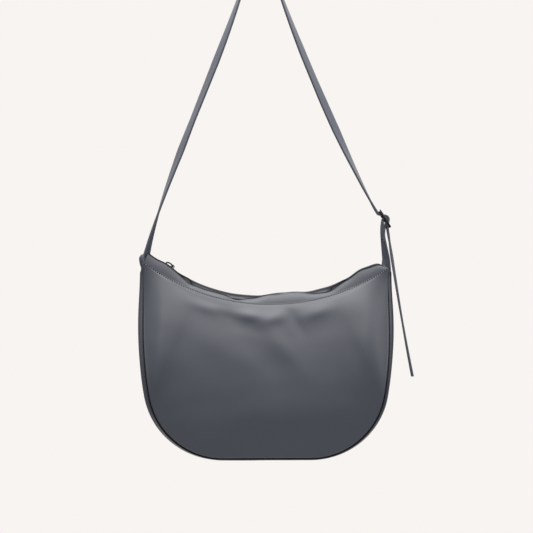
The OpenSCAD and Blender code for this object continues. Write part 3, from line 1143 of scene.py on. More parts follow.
@dataclass
class Facings:
    """The leather strips between the panels and the zip, whose lips lie in soft waves."""

    shape: BagShape
    finishes: Finishes
    thickness: float = 0.7
    foot_gap: float = 0.1
    foot_drop: float = 1.5
    lip_y: float = 4.6
    lip_r: float = 275.3
    lip_sway: float = 0.72
    back_part: float = 3.0
    fold_r: float = 1.2
    crown: float = 1.1
    crown_out: float = 0.8
    crown_up: float = 0.5
    skirt: float = 7.0
    skirt_in: float = 2.2
    # Painted shade along the lips, standing for the dark gap between them: how far it reaches below
    # the crest, how strong it is on the back lip, and where it fades out on the front lip.
    painted_shade_reach: float = 2.3
    back_painted_shade: float = 0.25
    rest_x: float = 48.0
    rest_width: float = 26.0
    start: float = -41.3
    end: float = 38.6
    rows: tuple[float, ...] = (
        *(k / 12 for k in range(11)), 0.87, 0.91, 0.94, 0.97,
        1.0, 1.15, 1.35, 1.6, 1.85, 2.1, 2.35, 2.6,
    )
    waves: dict[Side, tuple[Ripple, ...]] = field(
        default_factory=lambda: {
            Side.FRONT: (
                Ripple(-166, -0.9, 12),
                Ripple(-138, 3.9, 13),
                Ripple(-104, -5.0, 12),
                Ripple(-84, -3.9, 14),
                Ripple(-62, -2.8, 16),
                Ripple(-36, -6.8, 14),
                Ripple(-12, -1.5, 16),
                Ripple(12, 5.0, 17),
                Ripple(38, 5.5, 17),
                Ripple(60, 3.6, 14),
                Ripple(86, -1.6, 12),
                Ripple(104, -4.3, 12),
                Ripple(128, 1.5, 14),
                Ripple(150, 6.2, 14),
                Ripple(168, 0.4, 12),
                Ripple(194, -19.1, 12),
            ),
            Side.BACK: (
                Ripple(-166, -1.2, 12),
                Ripple(-138, 3.8, 13),
                Ripple(-112, 0.8, 18),
                Ripple(-60, 0.6, 30),
                Ripple(-12, 2.3, 26),
                Ripple(24, 6.0, 20),
                Ripple(52, 5.9, 20),
                Ripple(90, 3.0, 20),
                Ripple(122, 2.9, 16),
                Ripple(150, 7.0, 16),
                Ripple(170, 1.3, 12),
                Ripple(194, -18.0, 12),
            ),
        }
    )

    def lift(self, side: Side, x: float) -> float:
        """How far the lip stands above the zip's own curve."""
        return sum(w.lift * bump(x, w.at, w.width) for w in self.waves[side])

    def point(self, side: Side, f: float, t: float) -> Point:
        """A facing's surface.

        Args:
            side: which facing.
            f: along the mouth, from 0 to 1.
            t: from 0 at the seam to 1 at the lip, to 2 over its fold and then down inside.

        Returns:
            The point, in millimetres.
        """
        shape = self.shape
        mouth, up = shape.mouth(f)
        foot_y = shape.mouth_half(f) - self.foot_gap
        foot = mouth - up * self.foot_drop
        angle = mix(self.start, self.end, f)
        lip = shape.zip_point(angle, self.lip_r)
        lip.y += self.lift(side, lip.x)
        lip_y = self.lip_y + self.lip_sway * noise.noise(Vector((lip.x * 0.03, side.value, 0.0)))
        if side is Side.BACK:
            higher = self.lift(side, lip.x) - self.lift(Side.FRONT, lip.x)
            lip_y += self.back_part * smooth(higher / 4)
        if t <= 1:
            p = foot.lerp(lip, t)
            crown = self.crown * math.sin(math.pi * t)
            y = mix(foot_y, lip_y, t) + crown * self.crown_out
            p.y += crown * self.crown_up
        else:
            a = (t - 1) * math.pi * 1.15
            down = max(0.0, t - 2) / 0.6
            p = lip - Vector((0.0, self.fold_r * (1 - math.cos(a)) + self.skirt * down))
            y = lip_y - self.fold_r * math.sin(min(a, math.pi / 2))
            y -= self.skirt_in * down**2 * shape.sunk_share(angle)
        return (p.x, y * side.value, p.y)

    def build_strip(self, side: Side) -> bpy.types.Object:
        """Makes one facing, from under the panel's edge to the turned lip.

        Args:
            side: which facing.

        Returns:
            The piece.
        """
        rows = self.rows

        def place(u: float, v: float) -> Point:
            """The surface at (u, v)."""
            return self.point(side, u, rows[round(v * (len(rows) - 1))])

        def paint(u: float, v: float) -> float:
            """The painted shade along the lip's crest, where the lip stands upright.

            Args:
                u: along the lip, from 0 to 1.
                v: from the seam over the lip, from 0 to 1.

            Returns:
                How much painted shade there is.
            """
            t = rows[round(v * (len(rows) - 1))]
            lip = Vector(self.point(side, u, 1.0))
            reach = self.painted_shade_reach / (lip - Vector(self.point(side, u, 0.0))).length
            upright = 1 - bump(lip.x, self.rest_x, self.rest_width)
            if side is Side.BACK:
                upright = self.back_painted_shade
            return smooth((t - 1) / reach + 1.5) * upright

        bm = mapped_grid(240, len(rows) - 1, place, (400, 24), paint)
        thicken(bm, self.thickness, Vector((0, side.value * 0.6, 1)))
        name = side.name.lower()
        return make_piece(
            f"{name}_facing_leather", bm, self.finishes.leather, [f"{name}_facing"], 70
        )


@dataclass
class Stitching:
    """A line of separate stitches just below the top edge of each panel."""

    body: LeatherBody
    finishes: Finishes
    pitch: float = 3.7
    length: float = 2.2
    thickness: float = 1.4
    stand_out: float = 0.35
    slack: float = 1.06

    def build_line(self, side: Side) -> bpy.types.Object:
        """Makes one panel's stitches, each sunk a little into the leather.

        Args:
            side: which panel.

        Returns:
            The piece.
        """
        shape = self.body.shape
        start, end = shape.mouth(0.0)[0], shape.mouth(1.0)[0]
        count = round((end - start).length * self.slack / self.pitch)
        bm = bmesh.new()
        for k in range(count):
            f = (k + 0.5) / count
            here = Vector(self.body.panel_point(side, f, (Row.STITCH, 0.0)))
            near = Vector(self.body.panel_point(side, f + 0.002, (Row.STITCH, 0.0)))
            along = (near - here).normalized()
            out = Vector((0, side.value, 0))
            across = along.cross(out).normalized()
            out = across.cross(along)
            turn = Matrix((along, across, out)).transposed().to_4x4()
            size = Matrix.Diagonal((self.length / 2, self.thickness / 2, self.thickness / 2, 1))
            move = Matrix.Translation((here + out * self.stand_out) * MM)
            at = move @ turn @ size @ Matrix.Scale(MM, 4)
            bmesh.ops.create_uvsphere(bm, u_segments=6, v_segments=5, radius=1.0, matrix=at)
        bmesh.ops.recalc_face_normals(bm, faces=bm.faces)
        name = side.name.lower()
        return make_piece(
            f"{name}_top_stitches", bm, self.finishes.thread, [f"{name}_topstitch"], 80
        )


# ---------------------------------------------------------------- lining


@dataclass
class Lining:
    """The cloth inside the bag and its slip pocket."""

    shape: BagShape
    finishes: Finishes
    inset: float = 6.0
    gusset_gap: float = 0.4
    thickness: float = 0.6
    side_share: float = 0.03
    top_share: float = 0.05
    gusset_share: float = 0.04
    pocket_from: float = 0.38
    pocket_to: float = 0.62
    pocket_top: float = 0.34
    pocket_foot: float = 0.8
    pocket_gap: float = 0.9
    pocket_slack: float = 8.4
    pocket_edge: float = 0.12
    hem: float = 0.5
    hem_share: float = 0.07

    def build_face(self, side: Side) -> bpy.types.Object:
        """Makes the cloth behind a panel.

        Args:
            side: which panel.

        Returns:
            The piece.
        """

        def place(u: float, v: float) -> Point:
            """The surface at (u, v).

            Args:
                u: along the piece, from 0 to 1.
                v: across it, from 0 to 1.

            Returns:
                The point, in millimetres.
            """
            f = mix(self.side_share, 1 - self.side_share, u)
            p = self.shape.panel(f, mix(self.top_share, 1.0, v), self.inset)
            ease = 0.5 * noise.noise(Vector((p.x * 0.03, side.value * 5.0, p.z * 0.03)))
            return (p.x, (p.y + abs(ease)) * -side.value, p.z)

        bm = mapped_grid(80, 28, place, (370, 260))
        thicken(bm, self.thickness, Vector((0, -side.value, 0)))
        name = side.name.lower()
        return make_piece(
            f"{name}_lining_cloth", bm, self.finishes.lining, [f"lining_{name}"], 70
        )

    def build_gusset(self) -> bpy.types.Object:
        """Makes the cloth inside the gusset.

        Returns:
            The piece.
        """

        def place(u: float, v: float) -> Point:
            """The surface at (u, v).

            Args:
                u: along the piece, from 0 to 1.
                v: across it, from 0 to 1.

            Returns:
                The point, in millimetres.
            """
            f = mix(self.gusset_share, 1 - self.gusset_share, u)
            p, n = self.shape.edge(f)
            a = math.radians(mix(-90, 90, v))
            w = self.shape.gusset_half(f) - self.inset - self.gusset_gap
            out = (self.shape.gusset_swell(f) - self.inset) * math.cos(a)
            return (p.x + n.x * out, w * math.sin(a), p.y + n.y * out)

        bm = mapped_grid(110, 12, place, (900, 88))
        thicken(bm, self.thickness, Vector((0, 0, 1)))
        return make_piece(
            "gusset_lining_cloth", bm, self.finishes.lining, ["lining_gusset"], 70
        )

    def build_pocket(self) -> bpy.types.Object:
        """Makes an open-topped pocket, slack in the middle, with a hem along its top.

        Returns:
            The piece.
        """

        def place(u: float, v: float) -> Point:
            """The surface at (u, v).

            Args:
                u: along the piece, from 0 to 1.
                v: across it, from 0 to 1.

            Returns:
                The point, in millimetres.
            """
            free = min(1.0, min(u, 1 - u) / self.pocket_edge)
            free *= min(1.0, (1 - v) / self.pocket_edge)
            f = mix(self.pocket_from, self.pocket_to, u)
            height = mix(self.pocket_top, self.pocket_foot, v)
            p = self.shape.panel(f, height, self.inset + self.pocket_gap)
            hem = self.hem * (1 - smooth((v - self.hem_share) / 0.02))
            return (p.x, -(p.y + self.pocket_slack * smooth(free) + hem), p.z)

        bm = mapped_grid(48, 48, place, (90, 100))
        thicken(bm, self.thickness, Vector((0, -1, 0)))
        return make_piece(
            "slip_pocket_cloth", bm, self.finishes.lining, ["slip_pocket"], 70
        )


# ---------------------------------------------------------------- zip


@dataclass
class Zip:
    """The tapes, the coils, the stops, the slider and its ring."""

    shape: BagShape
    finishes: Finishes
    slider_at: float = -32.353
    top_stop: float = -33.87
    bottom_stop: float = 32.31
    depth: float = 12.0
    rise: float = 2.6
    rise_at: float = 24.0
    rise_width: float = 2.4
    lift: float = 0.5
    tape_start: float = -37.6
    tape_end: float = 33.6
    tape_t: float = 0.45
    tape_flat: float = 0.4
    tape_drop: float = 7.0
    coil_y: float = 1.75
    coil_r: float = 0.8
    coil_wire: float = 0.34
    coil_steps: int = 9
    chain_top: float = 2.4
    coil_pitch: float = 1.5
    stop_z: float = 1.1
    stop_y: float = 1.95
    plate_l: float = 5.5
    plate_t: float = 1.1
    plate_z: float = 3.3
    under_z: float = -1.5
    bridge_z: float = 5.7
    post_x: float = -2.9
    post_z: float = 0.9
    flange_x: float = -0.4
    flange_y: float = 3.9
    flange_z: float = 1.6
    wide_half: float = 4.3
    taper: float = 1.1
    bridge_r: float = 2.3
    bridge_wire: float = 0.62
    bridge_broad: float = 1.7
    eye_z: float = 5.735
    ring_r: float = 5.6
    ring_wire: float = 1.1
    ring_lean: float = 22.0

    def sink(self, angle: float) -> float:
        """How far the closed chain sinks between the lips, in millimetres."""
        sunk = self.depth * self.shape.sunk_share(angle)
        return sunk - self.rise * bump(angle, self.rise_at, self.rise_width) - self.lift

    def on_zip(self, angle: float, x: float, y: float, z: float) -> Point:
        """A point by the zip.

        Args:
            angle: the place along its curve, in degrees.
            x: further along it.
            y: across it.
            z: up from the face of the tapes.

        Returns:
            The point, in millimetres.
        """
        a = math.radians(angle)
        base = self.shape.zip_point(angle, self.shape.zip_r - z)
        return (base.x + x * math.cos(a), y, base.y + x * math.sin(a))

    def frame_at(self, angle: float) -> Matrix:
        """The slider's own frame, in millimetres."""
        at = self.on_zip(angle, 0, 0, 0)
        return Matrix.Translation(at) @ Matrix.Rotation(-math.radians(angle), 4, "Y")

    def build_tape(self, side: Side) -> bpy.types.Object:
        """Makes one tape, flat beside the coil and then down under the facing.

        Args:
            side: which tape.

        Returns:
            The piece.
        """

        def place(u: float, v: float) -> Point:
            """The surface at (u, v).

            Args:
                u: along the piece, from 0 to 1.
                v: across it, from 0 to 1.

            Returns:
                The point, in millimetres.
            """
            angle = mix(self.tape_start, self.tape_end, u)
            x, _, z = self.on_zip(angle, 0, 0, -self.sink(angle))
            flat = min(1.0, v / self.tape_flat)
            down = max(0.0, v - self.tape_flat) / (1 - self.tape_flat)
            y = mix(0.7, 4.0, flat) + (self.shape.mouth_half(u) - 7.4) * down
            return (x, y * side.value, z - 0.2 - self.tape_drop * down)

        bm = mapped_grid(150, 12, place, (390, 14))
        thicken(bm, self.tape_t, Vector((0, 0, 1)))
        name = side.name.lower()
        return make_piece(
            f"{name}_zip_tape", bm, self.finishes.tape, [f"zip_tape_{name}"], 70
        )

    def build_coil(self, side: Side) -> bpy.types.Object:
        """Makes one side's continuous nylon coil.

        Args:
            side: which coil.

        Returns:
            The piece.
        """
        start, end = self.top_stop + 0.55, self.bottom_stop - 0.55
        length = math.radians(end - start) * self.shape.zip_r
        turns = round(length / self.coil_pitch)
        steps = self.coil_steps
        points = []
        for k in range(turns * steps + 1):
            angle = mix(start, end, k / (turns * steps))
            phase = math.tau * (k / steps) + (0.0 if side is Side.FRONT else math.pi)
            y = self.coil_y * 0.93 + self.coil_y * 0.75 * math.cos(phase)
            z = self.chain_top / 2 + self.coil_r * math.sin(phase) - self.sink(angle)
            points.append(self.on_zip(angle, 0, y * side.value, z))
        bm = tube(points, self.coil_wire, 5, up=Vector((0.99, 0.0, 0.12)))
        name = side.name.lower()
        return make_piece(
            f"{name}_zip_coil", bm, self.finishes.coil, [f"zip_teeth_{name}"], 60
        )

    def build_stops(self) -> list[bpy.types.Object]:
        """Makes the stops at both ends.

        Returns:
            The top pair and the end stop.
        """
        top = bmesh.new()
        for y in (-self.stop_y, self.stop_y):
            at = self.frame_at(self.top_stop) @ Matrix.Translation((0, y, self.stop_z))
            merge(top, box_block((2.7, 2.4, 2.0), at, 0.5))
        at = self.frame_at(self.bottom_stop) @ Matrix.Translation((0, 0, self.stop_z))
        bottom = box_block((2.8, 6.2, 2.1), at, 0.5)
        enamel = self.finishes.enamel
        return [
            make_piece("zip_top_stop_pair", top, enamel, ["zip_top_stops"], 40),
            make_piece("zip_end_stop", bottom, enamel, ["zip_bottom_stop"], 40),
        ]

    def slider_plate(self, z: float) -> bmesh.types.BMesh:
        """One of the slider's plates, which tapers to one end.

        Args:
            z: the height of its middle.

        Returns:
            The mesh, in metres.
        """
        plate = bmesh.new()
        bmesh.ops.create_grid(plate, x_segments=12, y_segments=6, size=0.5)
        for vert in plate.verts:
            x, y = vert.co.x * 2, vert.co.y * 2
            half = self.wide_half - self.taper * smooth((x + 0.2) / 1.2)
            length = self.plate_l * (1 - 0.16 * y * y)
            low = z - self.plate_t / 2
            vert.co = Vector((x * length, y * half * (1 - 0.14 * x**4), low))
        top = bmesh.ops.extrude_face_region(plate, geom=plate.faces[:])
        moved = [g for g in top["geom"] if isinstance(g, bmesh.types.BMVert)]
        bmesh.ops.translate(plate, verts=moved, vec=(0, 0, self.plate_t))
        bmesh.ops.recalc_face_normals(plate, faces=plate.faces)
        rims = [e for e in plate.edges if e.calc_face_angle(0.0) > math.radians(50)]
        bmesh.ops.bevel(
            plate, geom=rims, offset=0.3, segments=2, profile=0.5, affect="EDGES", material=-1
        )
        here = self.frame_at(self.slider_at)
        bmesh.ops.transform(plate, matrix=Matrix.Scale(MM, 4) @ here, verts=plate.verts)
        return plate

    def build_slider(self) -> bpy.types.Object:
        """Makes the slider: two plates, the post between them, flanges and the ring's bridge.

        Returns:
            The piece.
        """
        here = self.frame_at(self.slider_at)
        bm = bmesh.new()
        for z in (self.plate_z, self.under_z):
            merge(bm, self.slider_plate(z))
        post = here @ Matrix.Translation((self.post_x, 0, self.post_z))
        merge(bm, box_block((2.6, 0.8, 4.8), post, 0.2))
        for y in (-self.flange_y, self.flange_y):
            flange = here @ Matrix.Translation((self.flange_x, y, self.flange_z))
            merge(bm, box_block((5.0, 0.8, 2.6), flange, 0.3))
        turns = [math.radians(mix(-58, 238, k / 20)) for k in range(21)]
        r = self.bridge_r
        middle = Vector((-1, 0, self.bridge_z))
        bridge = [middle + r * Vector((math.cos(a), 0, math.sin(a))) for a in turns]
        loop = tube([(here @ p)[:] for p in bridge], self.bridge_wire, 10)
        bmesh.ops.scale(loop, vec=Vector((1, self.bridge_broad, 1)), verts=loop.verts)
        merge(bm, loop)
        return make_piece(
            "zip_slider_body", bm, self.finishes.enamel, ["zip_slider"], 40
        )

    def build_ring(self) -> bpy.types.Object:
        """Makes the round pull, one ring of wire.

        Returns:
            The piece.
        """
        bm = bmesh.new()
        profile = bmesh.ops.create_circle(bm, segments=16, radius=self.ring_wire)
        turn = Matrix.Translation((self.ring_r, 0, 0)) @ Matrix.Rotation(math.pi / 2, 4, "X")
        bmesh.ops.transform(bm, matrix=turn, verts=profile["verts"])
        bmesh.ops.spin(
            bm,
            geom=bm.verts[:] + bm.edges[:],
            cent=(0, 0, 0),
            axis=(0, 0, 1),
            angle=math.tau,
            steps=64,
            use_merge=True,
        )
        close_mesh(bm)
        place = (
            self.frame_at(self.slider_at)
            @ Matrix.Translation((-1 - self.ring_r, 0, self.eye_z))
            @ Matrix.Rotation(math.radians(self.ring_lean), 4, "X")
        )
        bmesh.ops.transform(bm, matrix=Matrix.Scale(MM, 4) @ place, verts=bm.verts)
        bmesh.ops.recalc_face_normals(bm, faces=bm.faces)
        return make_piece(
            "puller_ring_wire", bm, self.finishes.enamel, ["puller_ring"], 60
        )


# ---------------------------------------------------------------- strap and buckle


@dataclass
class Strap:
    """The long strap, the chape and the buckle between them."""

    finishes: Finishes
    width: float = 15.0
    thickness: float = 3.2
    chape_t: float = 2.2
    drop: float = 460.0
    hook_r: float = 12.0
    left_exit: float = 14.0
    right_exit: float = 16.0
    left_lean: float = 12.0
    handle: float = 0.28
    left_foot: tuple[float, float] = (-171.5, -461.0)
    right_foot: tuple[float, float] = (189.8, -461.0)
    sewn_in: float = 25.0
    sewn_rows: int = 6
    tip: tuple[float, float] = (229.6, -637.0)
    rail_lead: float = 45.0
    tail_lead: tuple[float, float] = (5.0, -30.0)
    tail_middle: float = 0.56
    tail_shift: float = -3.0
    tail_steps: int = 44
    tail_holes: tuple[float, ...] = (0.34, 0.47, 0.6, 0.73)
    hole_r: float = 1.6
    chape_gap: float = 0.4
    chape_turn: float = -12.0
    chape_end: tuple[float, float] = (-1.2, -33.0)
    seam_drop: float = 30.0
    seam_stitches: int = 4
    stitch_gap: float = 3.0
    bar: Vector = field(default_factory=lambda: Vector((187.5, -401.0)))
    slope: float = 56.0
    rail_gap: float = 13.3
    wire_d: float = 3.0
    bar_d: float = 2.8
    rail_wrap: float = 3.5
    bar_wrap: float = 5.75
    bend_r: float = 3.0
    side_gap: float = 1.0
    thread_r: float = 0.34
    prong_r: float = 0.8
    pin_r: float = 1.0
    prong_eye: float = 2.33
    pin_rise: float = 1.05
    pin_tip: float = -15.2
    left_twists: tuple[tuple[float, float], ...] = (
        (-1.06, -88), (-1.015, -42), (-0.97, -26), (-0.926, -15.5), (-0.858, 0), (-0.776, 15),
        (-0.711, 25), (-0.646, 36), (-0.548, 28), (-0.483, 31), (-0.352, 37), (-0.287, 32),
        (-0.157, 16), (-0.03, 0),
    )
    right_twists: tuple[tuple[float, float], ...] = (
        (-0.84, 0), (-0.776, 11), (-0.711, 21), (-0.646, 34), (-0.58, 46), (-0.483, 46),
        (-0.417, 39), (-0.32, 36), (-0.157, 16), (-0.03, 0),
    )
    tail_twists: tuple[tuple[float, float], ...] = (
        (0.0, 0.0), (0.12, 2.0), (0.3, 12.0), (0.5, 9.0), (0.75, 5.0), (1.0, 0.0),
    )
    chape_twists: tuple[tuple[float, float], ...] = (
        (-1.06, 88.0), (-1.03, 62.0), (-1.0, 40.0), (-0.965, 28.0), (-0.935, 19.0),
        (-0.9, 12.0), (-0.872, 3.0),
    )

    @property
    def down(self) -> Vector:
        """Down the buckle, in X and Z."""
        a = math.radians(self.slope)
        return Vector((math.cos(a), -math.sin(a)))

    @property
    def face(self) -> Vector:
        """Out of the buckle's face, in X and Z."""
        a = math.radians(self.slope)
        return Vector((math.sin(a), math.cos(a)))

    @property
    def weave(self) -> float:
        """How far the strap turns between a rail and the bar, in degrees."""
        return math.degrees(math.asin((self.rail_wrap + self.bar_wrap) / self.rail_gap))

    def sewn_end(self, foot: Vector) -> list[Vector]:
        """The points that lead up to a foot from inside the bag's corner."""
        below = foot - Vector((0, self.sewn_in))
        return [below.lerp(foot, k / self.sewn_rows) for k in range(self.sewn_rows)]

    def twisted(
        self, points: Sequence[Vector], twists: Sequence[tuple[float, float]] = ((0.0, 0.0),)
    ) -> list[Point]:
        """Rows of (x, z, twist), with the twist read at each point's share of the drop."""
        return [(p.x, p.y, lookup(p.y / self.drop, twists)) for p in points]

    def loop(self) -> tuple[list[Vector], list[Vector], list[Vector]]:
        """The strap's way over the hook.

        Returns:
            The points up the left side, over the hook, and down to the buckle's top rail.
        """
        hook = Vector((0, -self.hook_r))
        r = self.hook_r + self.thickness / 2
        a_left, a_right = math.radians(self.left_exit), math.radians(self.right_exit)
        left_top = hook + r * Vector((-math.cos(a_left), math.sin(a_left)))
        right_top = hook + r * Vector((math.cos(a_right), math.sin(a_right)))
        foot = Vector(self.left_foot)
        lean = math.radians(self.left_lean)
        h = self.drop * self.handle
        left = [
            foot,
            foot + h * Vector((math.sin(lean), math.cos(lean))),
            left_top - h * Vector((math.sin(a_left), math.cos(a_left))),
            left_top,
        ]
        enter = self.bar - self.rail_gap * self.down - self.rail_wrap * self.face
        right = [
            right_top,
            right_top + h * Vector((math.sin(a_right), -math.cos(a_right))),
            enter - self.rail_lead * self.down,
            enter,
        ]
        over = arc(hook, r, 180 - self.left_exit, self.right_exit, 22)
        return bezier(left, 90), over[1:], bezier(right, 76)[1:]

    def tail(self, start: Vector) -> list[Point]:
        """The free end's rows below the buckle.

        Args:
            start: where it leaves the low rail.

        Returns:
            Rows of (x, z, twist).
        """
        tip = Vector(self.tip)
        lead = start + Vector(self.tail_lead)
        middle = start.lerp(tip, self.tail_middle) + Vector((self.tail_shift, 0))
        points = bezier([start, lead, middle, tip], self.tail_steps)
        shares = [k / self.tail_steps for k in range(self.tail_steps + 1)]
        rows = [(p.x, p.y, lookup(t, self.tail_twists)) for t, p in zip(shares, points)]
        return rows[1:]

    def long_path(self) -> list[Point]:
        """The long strap, from inside the bag's corner to its free tip.

        Returns:
            Rows of (x, z, twist).
        """
        rail = self.bar - self.rail_gap * self.down
        low = self.bar + self.rail_gap * self.down
        weave, slope = self.weave, self.slope
        left, over_hook, right = self.loop()
        wrap = arc(rail, self.rail_wrap, -90 - slope, -90 + weave - slope, 8)
        over_bar = arc(self.bar, self.bar_wrap, 90 + weave - slope, 90 - weave - slope, 14)
        under = arc(low, self.rail_wrap, -90 - weave - slope, -180, 5)
        rows = self.twisted(self.sewn_end(left[0]) + left, self.left_twists)
        rows += self.twisted(over_hook)
        rows += self.twisted(right, self.right_twists)
        rows += self.twisted(wrap[1:] + over_bar + under)
        return rows + self.tail(under[-1])

    def chape_path(self) -> list[Point]:
        """The chape, from inside the bag's corner, round the bar and down to its sewn end.

        Returns:
            Rows of (x, z, twist).
        """
        wrap = self.bar_d / 2 + self.chape_gap + self.chape_t / 2
        foot = Vector(self.right_foot)
        left = self.bar - Vector((wrap, 0))
        turn = math.radians(self.chape_turn)
        start = self.bar + wrap * Vector((math.cos(turn), math.sin(turn)))
        end = self.bar + Vector(self.chape_end)
        outer = bezier([foot, foot + Vector((-2.6, 21)), left - Vector((2.2, 19)), left], 40)
        round_bar = arc(self.bar, wrap, 180, self.chape_turn, 20)
        inner = bezier([start, start - Vector((1.7, 7.8)), end + Vector((0, 18)), end], 18)
        rows = self.twisted(self.sewn_end(foot) + outer, self.chape_twists)
        return rows + self.twisted(round_bar[1:] + inner[1:])

    @staticmethod
    def band(path: Sequence[Point], width: float, thickness: float) -> bmesh.types.BMesh:
        """A leather band with rounded edges and flat faces.

        Args:
            path: rows of (x, z, twist in degrees).
            width: across the band.
            thickness: through it.

        Returns:
            The closed mesh.
        """
        corner = min(0.9, thickness * 0.32)
        section = []
        for sx, sy in ((1, 1), (-1, 1), (-1, -1), (1, -1)):
            cx, cy = sx * (width / 2 - corner), sy * (thickness / 2 - corner)
            first = {(1, 1): 0, (-1, 1): 90, (-1, -1): 180, (1, -1): 270}[(sx, sy)]
            for k in range(4):
                a = math.radians(first + 30 * k)
                section.append((cx + corner * math.cos(a), cy + corner * math.sin(a)))
            if sx == sy:
                for t in (0.25, 0.5, 0.75):
                    section.append((cx * (1 - 2 * t), sy * (thickness / 2)))
        around = len(section)
        last = len(path) - 1

        def place(u: float, v: float) -> Point:
            """The surface at (u, v).

            Args:
                u: along the band, from 0 to 1.
                v: round it, from 0 to 1.

            Returns:
                The point, in millimetres.
            """
            k = round(u * last)
            x, z, twist = path[k]
            before, after = path[max(k - 1, 0)], path[min(k + 1, last)]
            along = Vector((after[0] - before[0], 0, after[1] - before[1])).normalized()
            side = Vector((-along.z, 0, along.x))
            a = math.radians(twist)
            across = Vector((0, math.cos(a), 0)) + math.sin(a) * side
            out = Vector((0, -math.sin(a), 0)) + math.cos(a) * side
            w, t = section[round(v * around) % around]
            return Vector((x, 0, z)) + w * across + t * out

        bm = mapped_grid(last, around, place, (1200, 2 * width))
        close_mesh(bm, caps=True)
        return bm

    def at_bar(self) -> Matrix:
        """The buckle's frame: x down it, z out of its face, in millimetres."""
        turn = Matrix.Rotation(math.radians(self.slope), 4, "Y")
        return Matrix.Translation((self.bar.x, 0, self.bar.y)) @ turn

    def build_long(self) -> bpy.types.Object:
        """Makes the long strap, with the prong's slot and the punched holes in its tail.

        Returns:
            The piece.
        """
        path = self.long_path()
        bm = self.band(path, self.width, self.thickness)
        piece = make_piece(
            "long_strap",
            bm,
            self.finishes.strap,
            ["strap_face", "strap_back", "strap_tab"],
            65,
        )
        tools = box_block((11.0, 3.2, 16), self.at_bar() @ Matrix.Translation((-4.2, 0, 4)), 1.4, 3)
        tail = path[-1 - self.tail_steps :]
        for share in self.tail_holes:
            k = round(share * self.tail_steps)
            x, z, _ = tail[k]
            run = Vector((tail[k + 1][0] - tail[k - 1][0], 0, tail[k + 1][1] - tail[k - 1][1]))
            turn = run.to_track_quat("X", "Y").to_matrix().to_4x4()
            at = Matrix.Scale(MM, 4) @ Matrix.Translation((x, 0, z)) @ turn
            bmesh.ops.create_cone(
                tools,
                cap_ends=True,
                segments=24,
                radius1=self.hole_r,
                radius2=self.hole_r,
                depth=10,
                matrix=at,
            )
        cut(piece, tools)
        return piece

    def build_chape(self) -> bpy.types.Object:
        """Makes the chape, folded round the centre bar, with a slot for the prong.

        Returns:
            The piece.
        """
        bm = self.band(self.chape_path(), self.width, self.chape_t)
        piece = make_piece(
            "chape_leather",
            bm,
            self.finishes.strap,
            ["chape", "chape_tab"],
            65,
        )
        slot = box_block((12.0, 3.4, 9), self.at_bar() @ Matrix.Translation((0, 0, 2.6)), 1.2, 3)
        cut(piece, slot)
        return piece

    def build_chape_stitches(self) -> bpy.types.Object:
        """Makes the stitches that close the chape's fold.

        Returns:
            The piece.
        """
        bm = bmesh.new()
        z = self.bar.y - self.seam_drop
        for k in range(self.seam_stitches):
            y = (k - (self.seam_stitches - 1) / 2) * self.stitch_gap
            points = [(self.bar.x - 5.2 + t, y, z) for t in range(7)]
            merge(bm, tube(points, self.thread_r, 8))
        return make_piece(
            "chape_stitches", bm, self.finishes.thread, ["chape_stitch"], 60
        )

    def build_frame(self) -> bpy.types.Object:
        """Makes the buckle's frame: one bent wire and its centre bar.

        Returns:
            The piece.
        """
        here = self.at_bar()
        half_y = self.width / 2 + self.side_gap + self.bend_r
        r = self.bend_r
        outline = []
        for sx, sy, start in ((1, 1, 0), (-1, 1, 90), (-1, -1, 180), (1, -1, 270)):
            centre = Vector((sx * (self.rail_gap - r), sy * (half_y - r)))
            for k in range(9):
                a = math.radians(start + 90 * k / 8)
                outline.append(centre + r * Vector((math.cos(a), math.sin(a))))
        outline.append(outline[0])
        points = [(here @ Vector((p.x, p.y, 0)))[:] for p in outline]
        normal = (here.to_3x3() @ Vector((0, 0, 1))).normalized()
        bm = tube(points, self.wire_d / 2, 16, closed=True, up=normal)
        bar = [(here @ Vector((0, mix(-half_y, half_y, k / 12), 0)))[:] for k in range(13)]
        merge(bm, tube(bar, self.bar_d / 2, 16, up=normal))
        return make_piece(
            "buckle_wire_frame", bm, self.finishes.enamel, ["buckle_frame"], 60
        )

    def build_prong(self) -> bpy.types.Object:
        """Makes the prong: an eye on the centre bar and a round pin with a blunt tip.

        Returns:
            The piece.
        """
        here = self.at_bar()
        z = self.wire_d / 2 + self.pin_rise
        turns = [math.radians(mix(-200, 62, k / 21)) for k in range(22)]
        eye = [self.prong_eye * Vector((math.cos(a), 0, math.sin(a))) for a in turns]
        bm = tube([(here @ p)[:] for p in eye], self.prong_r, 12)
        shaft = [Vector((mix(1.2, self.pin_tip, k / 30), 0, z)) for k in range(31)]
        merge(bm, tube([(here @ p)[:] for p in shaft], self.pin_r, 14))
        bmesh.ops.create_uvsphere(
            bm,
            u_segments=14,
            v_segments=8,
            radius=self.pin_r,
            matrix=Matrix.Scale(MM, 4) @ here @ Matrix.Translation((self.pin_tip, 0, z)),
        )
        return make_piece(
            "buckle_pin", bm, self.finishes.enamel, ["buckle_prong"], 60
        )


# ---------------------------------------------------------------- studio


@dataclass(frozen=True)
class Lamp:
    """A large soft lamp."""

    name: str
    place: Point
    aim: Point
    size: float
    power: float
    tint: Colour = (1.0, 0.99, 0.975)

    def build(self) -> bpy.types.Object:
        """Makes and aims the lamp.

        Returns:
            The lamp.
        """
        data = bpy.data.lights.new(self.name, "AREA")
        data.shape = "DISK"
        data.size = self.size
        data.energy = self.power
        data.color = self.tint
        obj = bpy.data.objects.new(self.name, data)
        bpy.context.scene.collection.objects.link(obj)
        obj.location = self.place
        aim = Vector(self.aim) - Vector(self.place)
        obj.rotation_euler = aim.to_track_quat("-Z", "Y").to_euler()
        return obj


